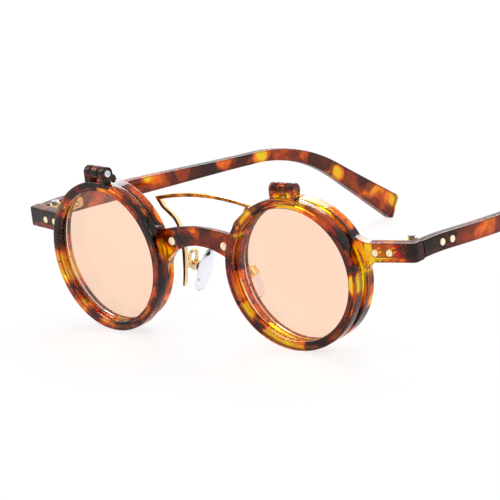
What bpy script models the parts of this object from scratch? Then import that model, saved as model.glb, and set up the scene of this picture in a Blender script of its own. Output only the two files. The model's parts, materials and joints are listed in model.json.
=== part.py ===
"""Round flip-up sunglasses: a moulded front with clear lenses, two tinted flip rings hinged over
it, a wire double bridge that carries the nose pads, and two temples on barrel hinges.

Units are metres and +Z is up. Everything is drawn in "front space": X towards the wearer's left,
Y back towards the ears, Z up, with the origin midway between the eyes on the flip rings' front
plane. Each sub-part is drawn for the +X side and mirrored for the other. At the end the whole
pair leans forward until it stands on its rims and its temple tips.
"""

import math

import bmesh
import bpy
from mathutils import Matrix, Vector

MM = 0.001
SIDES = {"left": 1, "right": -1}
GAP = 0.3 * MM  # between pieces that sit on or in one another

# Eyes
NOSE_GAP = 28.4 * MM  # between the rims, which sets how far apart the eyes are
EYE_WRAP = math.radians(5.5)  # each eye's plane turns back towards its temple
RING_SEGMENTS = 42
ROUND_SEGMENTS = 12  # of screws, rivets and barrels

# Flip ring and its tinted lens
FLIP_SIGHT_RADIUS = 18.8 * MM
FLIP_WALL = 2.6 * MM
FLIP_DEPTH = 3.3 * MM
FLIP_LENS_THICKNESS = 1.0 * MM
FLIP_LENS_SEAT = 1.0 * MM  # from the ring's front face to its groove
FLIP_GROOVE = 1.05 * MM  # how far the groove goes in behind the sight edge

# Moulded front
RIM_GAP = 0.6 * MM  # between the closed flip ring and the rim behind it
RIM_OUTSET = 1.4 * MM  # of the rim from the flip ring, away from the nose
RIM_SIGHT_RADIUS = 19.0 * MM
RIM_WALL = 1.7 * MM
RIM_DEPTH = 4.1 * MM
RIM_LENS_THICKNESS = 1.2 * MM
RIM_LENS_SEAT = 0.8 * MM
RIM_GROOVE = 0.8 * MM
RIM_REBATE = 0.2 * MM  # the opening is this much wider behind its lens
RIM_FLARE = 0.95 * MM  # and opens out at 45 degrees at its back
LENS_CROWN = 0.6 * MM  # how far a lens bulges forward at its middle
EDGE = 0.45 * MM  # rounding of the moulded edges
LIP = 0.2 * MM  # chamfer of a sight edge

# Bridge between the rims
BRIDGE_TOP = 10.85 * MM
BRIDGE_FALL = 0.8 * MM  # of its top edge towards the back
BRIDGE_BOTTOM = 5.2 * MM
BRIDGE_DEPTH = 3.6 * MM
BRIDGE_CREST_EDGE = 1.5 * MM  # rounding of its back, along the top
BRIDGE_BACK_EDGE = 0.9 * MM  # and along the bottom
BRIDGE_FRONT = 1.25 * MM  # front face behind the flip rings' plane, at the middle
BRIDGE_ROOT = 3.4 * MM  # how far it runs past the rims' nose edges
BRIDGE_FOOT = -5.0 * MM  # where its underside has run into the rims
BRIDGE_RIVET_IN = 4.8 * MM  # from the rim's nose edge
BRIDGE_RIVET_UP = 5.85 * MM

# Flip hinge: two ears on the ring, one knuckle on the front
FLIP_HINGE_OUTSET = 0.5 * MM  # from over the flip ring's centre
FLIP_AXIS_DEPTH = 2.05 * MM
FLIP_HINGE_CLEARANCE = 0.35 * MM  # between the knuckle and the closed ring
KNUCKLE_RADIUS = 1.9 * MM
KNUCKLE_LENGTH = 2.7 * MM
EAR_LENGTH = 2.4 * MM
HINGE_EDGE = 0.3 * MM  # rounding of ears and knuckle
FLIP_SCREW_RADIUS = 0.6 * MM
FLIP_SCREW_HEAD_RADIUS = 1.1 * MM
FLIP_SCREW_HEAD_DEPTH = 0.5 * MM
FLIP_SCREW_SINK = 0.8 * MM
FLIP_BORE_WALL = 0.6 * MM  # left in the far ear past the screw's end

# End pieces, which turn back to the temples
END_BEND = math.radians(8.5)  # extra turn back from the eye's plane
END_ROOT_INSET = 2.6 * MM  # from the rim's outer edge in to where that turn starts
END_DEPTH = 3.7 * MM
END_REACH = 14.4 * MM  # from the rim's outer edge to the temple's outer face
END_BACK = 14.0 * MM  # the joint face against the temple
END_MIDDLE = 6.1 * MM
END_HEIGHT = 5.5 * MM
END_CORNER_RADIUS = 1.3 * MM
END_RIVETS_ALONG = (5.9 * MM, 10.2 * MM)  # from where the turn starts

# Temple
TEMPLE_LENGTH = 147.3 * MM
TEMPLE_THICKNESS = 3.3 * MM
TEMPLE_TIP_THICKNESS = 3.0 * MM
TEMPLE_BEND_START = 85.5 * MM
TEMPLE_BEND_LENGTH = 33.5 * MM
TEMPLE_PITCH = math.radians(5.5)
TEMPLE_BEND = math.radians(33.4)
TEMPLE_TOE_IN = math.radians(5.1)
TEMPLE_STRAIGHT = 18.0 * MM  # the hinge stretch, before it toes in
TEMPLE_EASE = 12.0 * MM  # over which the pitch and the toe-in come on
TEMPLE_HEIGHTS = (4.9 * MM, 4.8 * MM, 3.4 * MM, 4.6 * MM, 7.6 * MM)
TEMPLE_HEIGHTS_AT = (0.0, 0.27, 0.56, 0.80, 1.0)  # shares of the length
TEMPLE_TIP_RADIUS = 1.7 * MM
TEMPLE_TIP_SKEW = math.radians(-5.0)  # of the end face, over the last tenth
TEMPLE_EDGE = 0.5 * MM
TEMPLE_RIVETS_ALONG = (7.6 * MM, 11.8 * MM)

# Temple hinge
PIN_INSET = 1.9 * MM  # from the temple's inner face to the pin
PIN_BACK = 1.5 * MM  # from the joint face to the pin
BARREL_RADIUS = 1.6 * MM
BARREL_LENGTH = 1.45 * MM
BARREL_GAP = 0.35 * MM
BARREL_SEGMENTS = 16
PIN_RADIUS = 0.55 * MM
PIN_HEAD_RADIUS = 1.15 * MM
PIN_HEAD_DEPTH = 0.6 * MM
LEAF_THICKNESS = 0.8 * MM
LEAF_HEIGHT = 3.0 * MM  # on the temple
LEAF_DROP = 0.35 * MM  # of the temple's leaf below the joint's middle
FRONT_LEAF_HEIGHT = 4.3 * MM
LEAF_LENGTH = 11.0 * MM
LEAF_MARGIN = 2.1 * MM  # of the front leaf past its rivets
LEAF_CORNER = 1.2 * MM
SHY = 0.1 * MM  # how far a web stays inside the leaf and barrel faces that it joins

# Rivets
RIVET_SHANK_RADIUS = 0.5 * MM
RIVET_HEAD_DEPTH = 0.4 * MM
RIVET_PROUD = 0.1 * MM
END_RIVET_HEAD_RADIUS = 0.95 * MM
TEMPLE_RIVET_HEAD_RADIUS = 1.0 * MM
BRIDGE_RIVET_HEAD_RADIUS = 1.15 * MM

# Wire double bridge: its leg from the tip to the arch's corner, as (past the rim's nose edge, height)
WIRE_WIDTH = 1.0 * MM
WIRE_DEPTH = 1.2 * MM
WIRE_TIP_WIDTH = 0.55 * MM
WIRE_LEG = (
    (-3.2, -8.3), (-4.2, -3.8), (-4.9, 2.0), (-4.8, 5.85), (-4.3, 8.9),
    (-3.2, 11.1), (-1.3, 12.8), (0.5, 14.2), (1.4, 15.5), (2.1, 16.6),
)
WIRE_ARCH_RISE = 1.75 * MM  # of the arch over its corners
EYELET_WIDTH = 2.9 * MM

# Nose pads
PAD_PIVOT_IN = 3.7 * MM  # from the rim's nose edge
PAD_PIVOT_BACK = 11.4 * MM
PAD_PIVOT_DOWN = 3.8 * MM
PAD_DOWN = Vector((0.48, 0.15, -0.864)).normalized()  # the pad's long axis
PAD_FACING = Vector((-1.0, 0.02, 0.0))  # towards the nose, squared to the long axis below
PAD_LENGTH = 14.6 * MM
PAD_WIDTH = 7.4 * MM
PAD_THICKNESS = 2.3 * MM
PAD_TAPER = 0.12  # narrower at its top by this share
PAD_BOX_WIDTH = 2.4 * MM
PAD_BOX_LENGTH = 2.9 * MM
PAD_BOX_CORNER = 0.4 * MM
PAD_BOX_WALL = 0.5 * MM
PAD_BOX_BASE = 1.4 * MM  # below the pad's pivot
PAD_BOX_RISE = 0.7 * MM  # above it
PAD_LUG_THICKNESS = 0.8 * MM
PAD_LUG_RADIUS = 0.75 * MM
PAD_LUG_CLEARANCE = 0.4 * MM  # of the insert's plate over the box
PAD_PLATE_THICKNESS = 0.4 * MM
PAD_PLATE_WIDTH = 2.0 * MM
PAD_PLATE_LENGTH = 3.0 * MM
PAD_SCREW_RADIUS = 0.3 * MM
PAD_SCREW_HEAD_RADIUS = 0.7 * MM
PAD_SCREW_HEAD_DEPTH = 0.4 * MM
PAD_SCREW_CLEARANCE = 0.2 * MM
PAD_ARM_RADIUS = 0.5 * MM
PAD_ARM_HEIGHT = -3.0 * MM  # where it leaves the wire's leg

FLIP_RADIUS = FLIP_SIGHT_RADIUS + FLIP_WALL
FLIP_AXIS_UP = KNUCKLE_RADIUS + FLIP_HINGE_CLEARANCE  # above the ring's edge
RIM_RADIUS = RIM_SIGHT_RADIUS + RIM_WALL
RIM_FRONT = FLIP_DEPTH + RIM_GAP
RIM_EDGE = NOSE_GAP / 2  # the rim's nose edge
EYE_OUT = RIM_EDGE + RIM_RADIUS - RIM_OUTSET  # the flip ring's centre
BRIDGE_REACH = RIM_EDGE + BRIDGE_ROOT
BRIDGE_RIVET_OUT = RIM_EDGE - BRIDGE_RIVET_IN
EYE = Matrix.Translation((EYE_OUT, 0, 0)) @ Matrix.Rotation(EYE_WRAP, 4, "Z")
RIM = EYE @ Matrix.Translation((RIM_OUTSET, 0, 0))
FLIP_AXIS = EYE @ Matrix.Translation((FLIP_HINGE_OUTSET, FLIP_AXIS_DEPTH, FLIP_RADIUS + FLIP_AXIS_UP))
END_ROOT_OUT = RIM_OUTSET + RIM_RADIUS - END_ROOT_INSET
END_ROOT = EYE @ Matrix.Translation((END_ROOT_OUT, RIM_FRONT, 0)) @ Matrix.Rotation(END_BEND, 4, "Z")
END_OUT = EYE_OUT + RIM_OUTSET + RIM_RADIUS + END_REACH
TEMPLE_INSIDE = END_OUT - TEMPLE_THICKNESS
PIN = Vector((TEMPLE_INSIDE - PIN_INSET, END_BACK + PIN_BACK, END_MIDDLE))
PAD_PIVOT = Vector((RIM_EDGE - PAD_PIVOT_IN, PAD_PIVOT_BACK, -PAD_PIVOT_DOWN))


# ---------------------------------------------------------------- drawing tools


def arc(centre, radius, start, end, steps):
    """Points on an arc in degrees, both ends included."""
    points = []
    for step in range(steps + 1):
        angle = math.radians(start + (end - start) * step / steps)
        points.append((centre[0] + radius * math.cos(angle), centre[1] + radius * math.sin(angle)))
    return points


def rounded(corners, steps=3):
    """An outline whose (x, y, radius) corners are replaced by tangent arcs."""
    outline = []
    for i, (x, y, radius) in enumerate(corners):
        here = Vector((x, y))
        before = (Vector(corners[i - 1][:2]) - here).normalized()
        after = (Vector(corners[(i + 1) % len(corners)][:2]) - here).normalized()
        if radius == 0:
            outline.append((x, y))
            continue
        half = before.angle(after) / 2
        centre = here + (before + after).normalized() * radius / math.sin(half)
        first = here + before * radius / math.tan(half) - centre
        last = here + after * radius / math.tan(half) - centre
        turn = first.angle_signed(last)
        for step in range(steps + 1):
            spoke = first.copy()
            spoke.rotate(Matrix.Rotation(-turn * step / steps, 2))
            outline.append(tuple(centre + spoke))
    return outline


def rounded_rectangle(width, height, radius, steps=2):
    corners = [(sx * width / 2, sy * height / 2, radius) for sx, sy in ((1, -1), (1, 1), (-1, 1), (-1, -1))]
    return rounded(corners, steps)


def smooth_path(points, steps=4):
    """A Catmull-Rom curve through the points."""
    points = [Vector(p) for p in points]
    padded = [2 * points[0] - points[1], *points, 2 * points[-1] - points[-2]]
    path = []
    for a, b, c, d in zip(padded, padded[1:], padded[2:], padded[3:]):
        for step in range(steps):
            t = step / steps
            path.append(
                0.5 * (2 * b + (c - a) * t + (2 * a - 5 * b + 4 * c - d) * t**2 + (3 * b - a - 3 * c + d) * t**3)
            )
    return [*path, points[-1]]


def blended(values, places, at):
    """A smooth run through values at ascending places."""
    for i in range(len(places) - 1):
        if at <= places[i + 1]:
            share = (at - places[i]) / (places[i + 1] - places[i])
            slopes = []
            for k in (i, i + 1):
                low, high = max(k - 1, 0), min(k + 1, len(places) - 1)
                slopes.append((values[high] - values[low]) / (places[high] - places[low]))
            run = places[i + 1] - places[i]
            rise = share * share * (3 - 2 * share)
            lead = share * (1 - share) ** 2 * slopes[0] - share * share * (1 - share) * slopes[1]
            return values[i] + (values[i + 1] - values[i]) * rise + lead * run
    return values[-1]


def turned(profile, segments):
    """A closed (radius, depth) profile turned about the Y axis."""
    shape = bmesh.new()
    on_axis = {i: shape.verts.new((0, depth, 0)) for i, (radius, depth) in enumerate(profile) if radius == 0}
    rings = []
    for step in range(segments):
        angle = 2 * math.pi * step / segments
        ring = []
        for i, (radius, depth) in enumerate(profile):
            at = (radius * math.cos(angle), depth, radius * math.sin(angle))
            ring.append(on_axis[i] if i in on_axis else shape.verts.new(at))
        rings.append(ring)
    count = len(profile)
    for step in range(segments):
        here, there = rings[step], rings[(step + 1) % segments]
        for i in range(count):
            corners = list(dict.fromkeys((here[i], here[(i + 1) % count], there[(i + 1) % count], there[i])))
            if len(corners) > 2:
                shape.faces.new(corners)
    bmesh.ops.recalc_face_normals(shape, faces=shape.faces)
    return shape


def lofted(sections):
    """A solid through closed sections of equal count, capped at both ends."""
    shape = bmesh.new()
    rows = [[shape.verts.new(point) for point in section] for section in sections]
    count = len(rows[0])
    for here, there in zip(rows, rows[1:]):
        for i in range(count):
            shape.faces.new((here[i], here[(i + 1) % count], there[(i + 1) % count], there[i]))
    shape.faces.new(rows[0])
    shape.faces.new(rows[-1])
    bmesh.ops.recalc_face_normals(shape, faces=shape.faces)
    return shape


def prism(outline, low, high, axis="Z"):
    """An outline pushed from low to high. Along Y it is drawn in (X, Z), along X in (Y, Z)."""
    place = {
        "X": lambda a, b, h: (h, a, b),
        "Y": lambda a, b, h: (a, h, b),
        "Z": lambda a, b, h: (a, b, h),
    }[axis]
    return lofted([[place(a, b, height) for a, b in outline] for height in (low, high)])


def rod(radius, low, high, segments=ROUND_SEGMENTS):
    return turned([(0, low), (radius, low), (radius, high), (0, high)], segments)


def swept(path, radius, segments=6):
    """A round wire along a 3-D path."""
    sections = []
    across = Vector((1, 0, 0))
    for i, point in enumerate(path):
        ahead = (path[min(i + 1, len(path) - 1)] - path[max(i - 1, 0)]).normalized()
        across = (across - ahead * across.dot(ahead)).normalized()
        other = ahead.cross(across)
        ring = []
        for step in range(segments):
            angle = 2 * math.pi * step / segments
            ring.append(point + radius * (math.cos(angle) * across + math.sin(angle) * other))
        sections.append(ring)
    return lofted(sections)


def facing(origin, direction):
    """A frame at origin whose Y axis runs along direction."""
    turn = Vector((0, 1, 0)).rotation_difference(Vector(direction))
    return Matrix.Translation(origin) @ turn.to_matrix().to_4x4()


def moved(shape, matrix):
    bmesh.ops.transform(shape, matrix=matrix, verts=shape.verts)
    return shape


def soften(obj, width, segments=1):
    bevel = obj.modifiers.new("soft_edges", "BEVEL")
    bevel.width = width
    bevel.segments = segments
    bevel.limit_method = "ANGLE"
    bevel.angle_limit = math.radians(40)


# ---------------------------------------------------------------- the assembly


class Assembly:
    """Puts front-space shapes into the scene, each under the empty that carries it."""

    def __init__(self):
        for obj in list(bpy.data.objects):
            bpy.data.objects.remove(obj, do_unlink=True)
        self.root = self.empty("sunglasses", Matrix.Identity(4), None)
        self.made = []
        self.standing = []  # points that may touch the table, in front space
        self.hanging = []

    def empty(self, name, place, parent):
        marker = bpy.data.objects.new(name, None)
        marker.empty_display_size = 0.005
        bpy.context.scene.collection.objects.link(marker)
        marker.parent = parent
        marker.matrix_basis = place
        return marker

    def axis(self, name, side, origin, turn=0.0):
        """An empty on a joint's axis. turn is about Z and is mirrored with the side."""
        place = Matrix.Translation((side * origin[0], origin[1], origin[2]))
        return self.empty(name, place @ Matrix.Rotation(side * turn, 4, "Z"), self.root)

    def add(self, name, shape, material, side=1, carrier=None, helper=False):
        """An object from a shape drawn in front space on the +X side."""
        carrier = carrier or self.root
        if side < 0:
            moved(shape, Matrix.Scale(-1, 4, (1, 0, 0)))
            bmesh.ops.reverse_faces(shape, faces=shape.faces)
        if carrier is not self.root:
            moved(shape, carrier.matrix_basis.inverted())
        mesh = bpy.data.meshes.new(name)
        shape.to_mesh(mesh)
        shape.free()
        mesh.shade_smooth()
        mesh.set_sharp_from_angle(angle=math.radians(32))
        mesh.materials.append(material)
        obj = bpy.data.objects.new(name, mesh)
        bpy.context.scene.collection.objects.link(obj)
        obj.parent = carrier
        if helper:
            obj.hide_render = True
            obj.display_type = "WIRE"
        else:
            self.made.append(obj)
        return obj

    def combine(self, target, shapes, operation, side=1, edge=0.0):
        """Adds or cuts each shape, drawn in front space on the +X side."""
        carrier = target.parent
        for label, shape in shapes:
            tool = self.add(f"{target.name}_{label}", shape, target.data.materials[0], side, carrier, helper=True)
            if edge:
                soften(tool, edge)
            boolean = target.modifiers.new(label, "BOOLEAN")
            boolean.operation = operation
            boolean.object = tool

    def stand(self):
        """Leans the pair forward until rims and temple tips touch the table, and centres it."""

        def lowest(points, lean):
            return min(p.y * math.sin(lean) + p.z * math.cos(lean) for p in points)

        low, high = 0.0, math.radians(25)
        for _ in range(40):
            lean = (low + high) / 2
            if lowest(self.standing, lean) > lowest(self.hanging, lean):
                low = lean
            else:
                high = lean
        turn = Matrix.Rotation(lean, 4, "X")
        self.root.matrix_basis = turn
        bpy.context.view_layer.update()
        corners = [obj.matrix_world @ vertex.co for obj in self.made for vertex in obj.data.vertices]
        middle = (min(p.y for p in corners) + max(p.y for p in corners)) / 2
        rise = min(p.z for p in corners)
        self.root.matrix_basis = Matrix.Translation((0, -middle, -rise)) @ turn
        bpy.context.view_layer.update()


def finish(name, colour, roughness, metallic=0.0, transmission=0.0):
    material = bpy.data.materials.new(name)
    material.use_nodes = True
    shader = material.node_tree.nodes["Principled BSDF"]
    shader.inputs["Base Color"].default_value = (*colour, 1)
    shader.inputs["Roughness"].default_value = roughness
    shader.inputs["Metallic"].default_value = metallic
    shader.inputs["Transmission Weight"].default_value = transmission
    return material


# ---------------------------------------------------------------- eyes: rims, rings and lenses


def ring_profile():
    """The flip ring's section: rounded outside edges and a lens groove in its inner wall."""
    inside = FLIP_SIGHT_RADIUS + LIP
    groove_floor = FLIP_SIGHT_RADIUS + FLIP_GROOVE
    groove_end = FLIP_LENS_SEAT + FLIP_LENS_THICKNESS + 2 * GAP
    return [
        (inside, 0),
        (FLIP_RADIUS - EDGE, 0),
        (FLIP_RADIUS - EDGE * 0.3, EDGE * 0.3),
        (FLIP_RADIUS, EDGE),
        (FLIP_RADIUS, FLIP_DEPTH - EDGE),
        (FLIP_RADIUS - EDGE, FLIP_DEPTH),
        (inside, FLIP_DEPTH),
        (inside, groove_end),
        (groove_floor, groove_end),
        (groove_floor, FLIP_LENS_SEAT),
        (FLIP_SIGHT_RADIUS, FLIP_LENS_SEAT),
        (FLIP_SIGHT_RADIUS, LIP),
    ]


def lens(radius, front, thickness):
    """A crowned disc whose edge lies between front and front + thickness."""
    profile = []
    for face in (0, 1):
        ring = []
        for share in (0.0, 0.6, 1.0):
            crown = LENS_CROWN * (1 - share * share)
            ring.append((radius * share, front + face * thickness - crown))
        profile += ring if face == 0 else ring[::-1]
    return turned(profile, RING_SEGMENTS)


def ear_outline():
    """One ear of the flip ring, seen from the side as (depth, height) from the hinge axis."""
    edge = -FLIP_AXIS_UP  # the ring's edge
    foot = edge - 1.0 * MM
    back = FLIP_DEPTH - FLIP_AXIS_DEPTH - 0.3 * MM
    over = arc((0, 0), KNUCKLE_RADIUS, 180, -40, 10)
    return [(-KNUCKLE_RADIUS, foot), *over, (back, edge + 0.4 * MM), (back, foot)]


def knuckle_outline():
    """The front's knuckle: it reaches forward over the closed flip ring."""
    edge = RIM_RADIUS - FLIP_RADIUS - FLIP_AXIS_UP  # the rim's edge
    foot = edge - RIM_WALL / 2
    front = RIM_FRONT - FLIP_AXIS_DEPTH + 0.05 * MM
    back = front + 3.35 * MM
    over = arc((0, 0), KNUCKLE_RADIUS, 40, 300, 12)
    return [(back, foot), (back, edge + 0.8 * MM), *over, (front, edge + 0.55 * MM), (front, foot)]


def make_flip(parts, name, side, finishes):
    """A flip ring with its ears, its tinted lens and its hinge screw, all on the hinge axis."""
    carrier = parts.axis(f"flip_axis_{name}", side, FLIP_AXIS.translation, EYE_WRAP)
    ring_shape = moved(turned(ring_profile(), RING_SEGMENTS), EYE)
    parts.standing += [Vector(v.co) for v in ring_shape.verts]
    ring = parts.add(f"flip_ring_{name}", ring_shape, finishes["tortoise"], side, carrier)

    inner = KNUCKLE_LENGTH / 2 + GAP
    outer = inner + EAR_LENGTH
    ears = []
    for label, low, high in (("nose_ear", -outer, -inner), ("outer_ear", inner, outer)):
        ears.append((label, moved(prism(ear_outline(), low, high, "X"), FLIP_AXIS)))
    parts.combine(ring, ears, "UNION", side, edge=HINGE_EDGE)

    outwards = FLIP_AXIS @ Matrix.Rotation(-math.pi / 2, 4, "Z")
    bore_end = outer - FLIP_BORE_WALL
    head_bore = FLIP_SCREW_HEAD_RADIUS + GAP
    shank_bore = FLIP_SCREW_RADIUS + GAP
    seat = -outer + FLIP_SCREW_SINK
    bore = [
        (0, -outer - MM),
        (head_bore, -outer - MM),
        (head_bore, seat),
        (shank_bore, seat),
        (shank_bore, bore_end),
        (0, bore_end),
    ]
    parts.combine(ring, [("screw_bore", moved(turned(bore, ROUND_SEGMENTS), outwards))], "DIFFERENCE", side)

    tinted = lens(FLIP_SIGHT_RADIUS + FLIP_GROOVE - GAP, FLIP_LENS_SEAT + GAP, FLIP_LENS_THICKNESS)
    parts.add(f"flip_lens_{name}", moved(tinted, EYE), finishes["tinted"], side, carrier)

    under_head = seat - GAP
    head = under_head - FLIP_SCREW_HEAD_DEPTH
    screw = [
        (0, head),
        (FLIP_SCREW_HEAD_RADIUS * 0.7, head),
        (FLIP_SCREW_HEAD_RADIUS, head + 0.15 * MM),
        (FLIP_SCREW_HEAD_RADIUS, under_head),
        (FLIP_SCREW_RADIUS, under_head),
        (FLIP_SCREW_RADIUS, bore_end - GAP),
        (0, bore_end - GAP),
    ]
    screw_shape = moved(turned(screw, ROUND_SEGMENTS), outwards)
    parts.add(f"flip_hinge_screw_{name}", screw_shape, finishes["steel"], side, carrier)


# ---------------------------------------------------------------- moulded front


def bridge_top(x):
    """The bridge's upper edge, which sweeps up along the rims."""
    return BRIDGE_TOP - 12.5 * x * x + 6 * MM * (x / (RIM_EDGE + 4.2 * MM)) ** 8


def bridge_bottom(x):
    """Its lower edge, an arch that runs down into the rims."""
    arch = BRIDGE_BOTTOM - 30 * x * x - 4.2 * MM * (x / (RIM_EDGE + 0.4 * MM)) ** 10
    return max(arch, BRIDGE_FOOT)


def bridge_front(x):
    return BRIDGE_FRONT + 4.5 * x * x


def bridge_shape():
    sections = []
    stations = 20
    for step in range(stations + 1):
        x = BRIDGE_REACH * math.sin(math.pi / 2 * (2 * step / stations - 1))
        top, bottom = bridge_top(x), bridge_bottom(x)
        front = bridge_front(x)
        corners = [
            (front, bottom, EDGE),
            (front, top, EDGE),
            (front + BRIDGE_DEPTH, top - BRIDGE_FALL, BRIDGE_CREST_EDGE),
            (front + BRIDGE_DEPTH, bottom, BRIDGE_BACK_EDGE),
        ]
        sections.append([(x, depth, height) for depth, height in rounded(corners, 2)])
    return lofted(sections)


def end_plan():
    """The end piece from above: out along the front, round the corner, back to the temple joint."""
    along, back = END_ROOT.col[0].xy, END_ROOT.col[1].xy
    root = END_ROOT.translation.xy
    start = root - along * 0.6 * MM
    corner = root + along * (END_OUT - root.x) / along.x
    inner_start = start + back * END_DEPTH
    inner = inner_start + along * (TEMPLE_INSIDE - inner_start.x) / along.x
    return rounded(
        [
            (*start, 0),
            (*corner, END_CORNER_RADIUS),
            (END_OUT, END_BACK, 0),
            (TEMPLE_INSIDE, END_BACK, 0),
            (*inner, 0),
            (*inner_start, 0),
        ]
    )


def end_gusset():
    """The flare between rim and end piece, seen from the front."""
    top, bottom = END_MIDDLE + END_HEIGHT / 2, END_MIDDLE - END_HEIGHT / 2
    edge = END_ROOT_INSET  # the rim's outer edge
    root = edge - 2.4 * MM
    outline = [
        (root, top + 1.4 * MM),
        (edge - 0.3 * MM, top + 0.35 * MM),
        (edge + 1.7 * MM, top - 0.1 * MM),
        (edge + 3.7 * MM, top - 0.5 * MM),
        (edge + 3.7 * MM, bottom + 0.5 * MM),
        (edge + 2.3 * MM, bottom - 0.3 * MM),
        (edge + 1.1 * MM, bottom - 1.2 * MM),
        (edge + 0.2 * MM, bottom - 2.6 * MM),
        (edge - 0.2 * MM, bottom - 4.4 * MM),
        (root, bottom - 4.4 * MM),
    ]
    inset = 0.15 * MM  # behind the end piece's faces
    return moved(prism(outline, inset, END_DEPTH - inset, "Y"), END_ROOT)


def rivet_places():
    """Each front-space rivet on the +X side: (label, frame with Y into the part, head radius, depth)."""
    bridge_at = (BRIDGE_RIVET_OUT, bridge_front(BRIDGE_RIVET_OUT), BRIDGE_RIVET_UP)
    wire_back = wire_front() + WIRE_DEPTH
    places = [("bridge_rivet", facing(bridge_at, (0, 1, 0)), BRIDGE_RIVET_HEAD_RADIUS, wire_back - bridge_at[1])]
    for label, along in zip(("inner", "outer"), END_RIVETS_ALONG):
        frame = END_ROOT @ Matrix.Translation((along, 0, END_MIDDLE))
        places.append((f"end_rivet_{label}", frame, END_RIVET_HEAD_RADIUS, END_DEPTH + GAP + LEAF_THICKNESS))
    return places


def rivet(head_radius, depth):
    return turned(
        [
            (0, -RIVET_PROUD),
            (head_radius * 0.75, -RIVET_PROUD * 0.8),
            (head_radius, 0),
            (head_radius, RIVET_HEAD_DEPTH),
            (RIVET_SHANK_RADIUS, RIVET_HEAD_DEPTH),
            (RIVET_SHANK_RADIUS, depth),
            (0, depth),
        ],
        ROUND_SEGMENTS,
    )


def rivet_hole(head_radius, depth):
    return turned(
        [
            (0, -2 * MM),
            (head_radius + GAP, -2 * MM),
            (head_radius + GAP, RIVET_HEAD_DEPTH + GAP),
            (RIVET_SHANK_RADIUS + GAP, RIVET_HEAD_DEPTH + GAP),
            (RIVET_SHANK_RADIUS + GAP, depth + 2 * MM),
            (0, depth + 2 * MM),
        ],
        ROUND_SEGMENTS,
    )


def rim_blank():
    """The rim's section before its opening is cut."""
    front, back = RIM_FRONT, RIM_FRONT + RIM_DEPTH
    inside = RIM_SIGHT_RADIUS - 0.5 * MM
    return [
        (inside, front),
        (RIM_RADIUS - EDGE, front),
        (RIM_RADIUS, front + EDGE),
        (RIM_RADIUS, back - EDGE),
        (RIM_RADIUS - EDGE * 0.3, back - EDGE * 0.3),
        (RIM_RADIUS - EDGE, back),
        (inside, back),
    ]


def rim_opening():
    """The eye opening and its lens groove, as one turned cutter."""
    front, back = RIM_FRONT, RIM_FRONT + RIM_DEPTH
    seat = front + RIM_LENS_SEAT
    seat_end = seat + RIM_LENS_THICKNESS + 2 * GAP
    groove = RIM_SIGHT_RADIUS + RIM_GROOVE
    behind = RIM_SIGHT_RADIUS + RIM_REBATE
    reach = 3 * MM
    past = 0.3 * MM  # how far each chamfer runs past the rim's face
    return [
        (0, front - reach),
        (RIM_SIGHT_RADIUS + LIP + past, front - reach),
        (RIM_SIGHT_RADIUS + LIP + past, front - past),
        (RIM_SIGHT_RADIUS, front + LIP),
        (RIM_SIGHT_RADIUS, seat),
        (groove, seat),
        (groove, seat_end),
        (behind, seat_end),
        (behind, back - RIM_FLARE),
        (behind + RIM_FLARE + past, back + past),
        (behind + RIM_FLARE + past, back + reach),
        (0, back + reach),
    ]


def make_front(parts, finishes):
    front = parts.add("front_frame", bridge_shape(), finishes["tortoise"])
    half = KNUCKLE_LENGTH / 2
    low, high = END_MIDDLE - END_HEIGHT / 2, END_MIDDLE + END_HEIGHT / 2
    for name, side in SIDES.items():
        rim = moved(turned(rim_blank(), RING_SEGMENTS), RIM)
        parts.combine(front, [(f"rim_{name}", rim)], "UNION", side)
        parts.combine(front, [(f"end_{name}", prism(end_plan(), low, high))], "UNION", side, edge=EDGE)
        parts.combine(front, [(f"end_root_{name}", end_gusset())], "UNION", side)
        knuckle = moved(prism(knuckle_outline(), -half, half, "X"), FLIP_AXIS)
        parts.combine(front, [(f"knuckle_{name}", knuckle)], "UNION", side, edge=HINGE_EDGE)
    outwards = FLIP_AXIS @ Matrix.Rotation(-math.pi / 2, 4, "Z")
    for name, side in SIDES.items():
        seat = rod(FLIP_RADIUS + GAP, -FLIP_DEPTH, FLIP_DEPTH + GAP, RING_SEGMENTS)
        cuts = [(f"closed_ring_seat_{name}", moved(seat, EYE))]
        cuts.append((f"opening_{name}", moved(turned(rim_opening(), RING_SEGMENTS), RIM)))
        cuts.append((f"hinge_bore_{name}", moved(rod(FLIP_SCREW_RADIUS + GAP, -half - MM, half + MM), outwards)))
        for label, frame, head, depth in rivet_places():
            cuts.append((f"{label}_hole_{name}", moved(rivet_hole(head, depth), frame)))
        parts.combine(front, cuts, "DIFFERENCE", side)
        clear = lens(RIM_SIGHT_RADIUS + RIM_GROOVE - GAP, RIM_FRONT + RIM_LENS_SEAT + GAP, RIM_LENS_THICKNESS)
        parts.add(f"main_lens_{name}", moved(clear, RIM), finishes["clear"], side)
        for label, frame, head, depth in rivet_places():
            parts.add(f"{label}_{name}", moved(rivet(head, depth), frame), finishes["gold"], side)


# ---------------------------------------------------------------- wire bridge and nose pads


def wire_front():
    """The wire lies behind the bridge, a gap away where the bridge reaches furthest back."""
    return bridge_front(BRIDGE_RIVET_OUT + EYELET_WIDTH / 2) + BRIDGE_DEPTH + GAP


def wire_leg():
    """The centreline of the +X leg, from its tip to the arch's corner."""
    return smooth_path([(RIM_EDGE + x * MM, z * MM) for x, z in WIRE_LEG], 4)


def leg_out(height):
    """How far out the leg's centreline lies at a height."""
    leg = wire_leg()
    for below, above in zip(leg, leg[1:]):
        if height <= above.y:
            share = (height - below.y) / (above.y - below.y)
            return below.x + (above.x - below.x) * share
    return leg[-1].x


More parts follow.
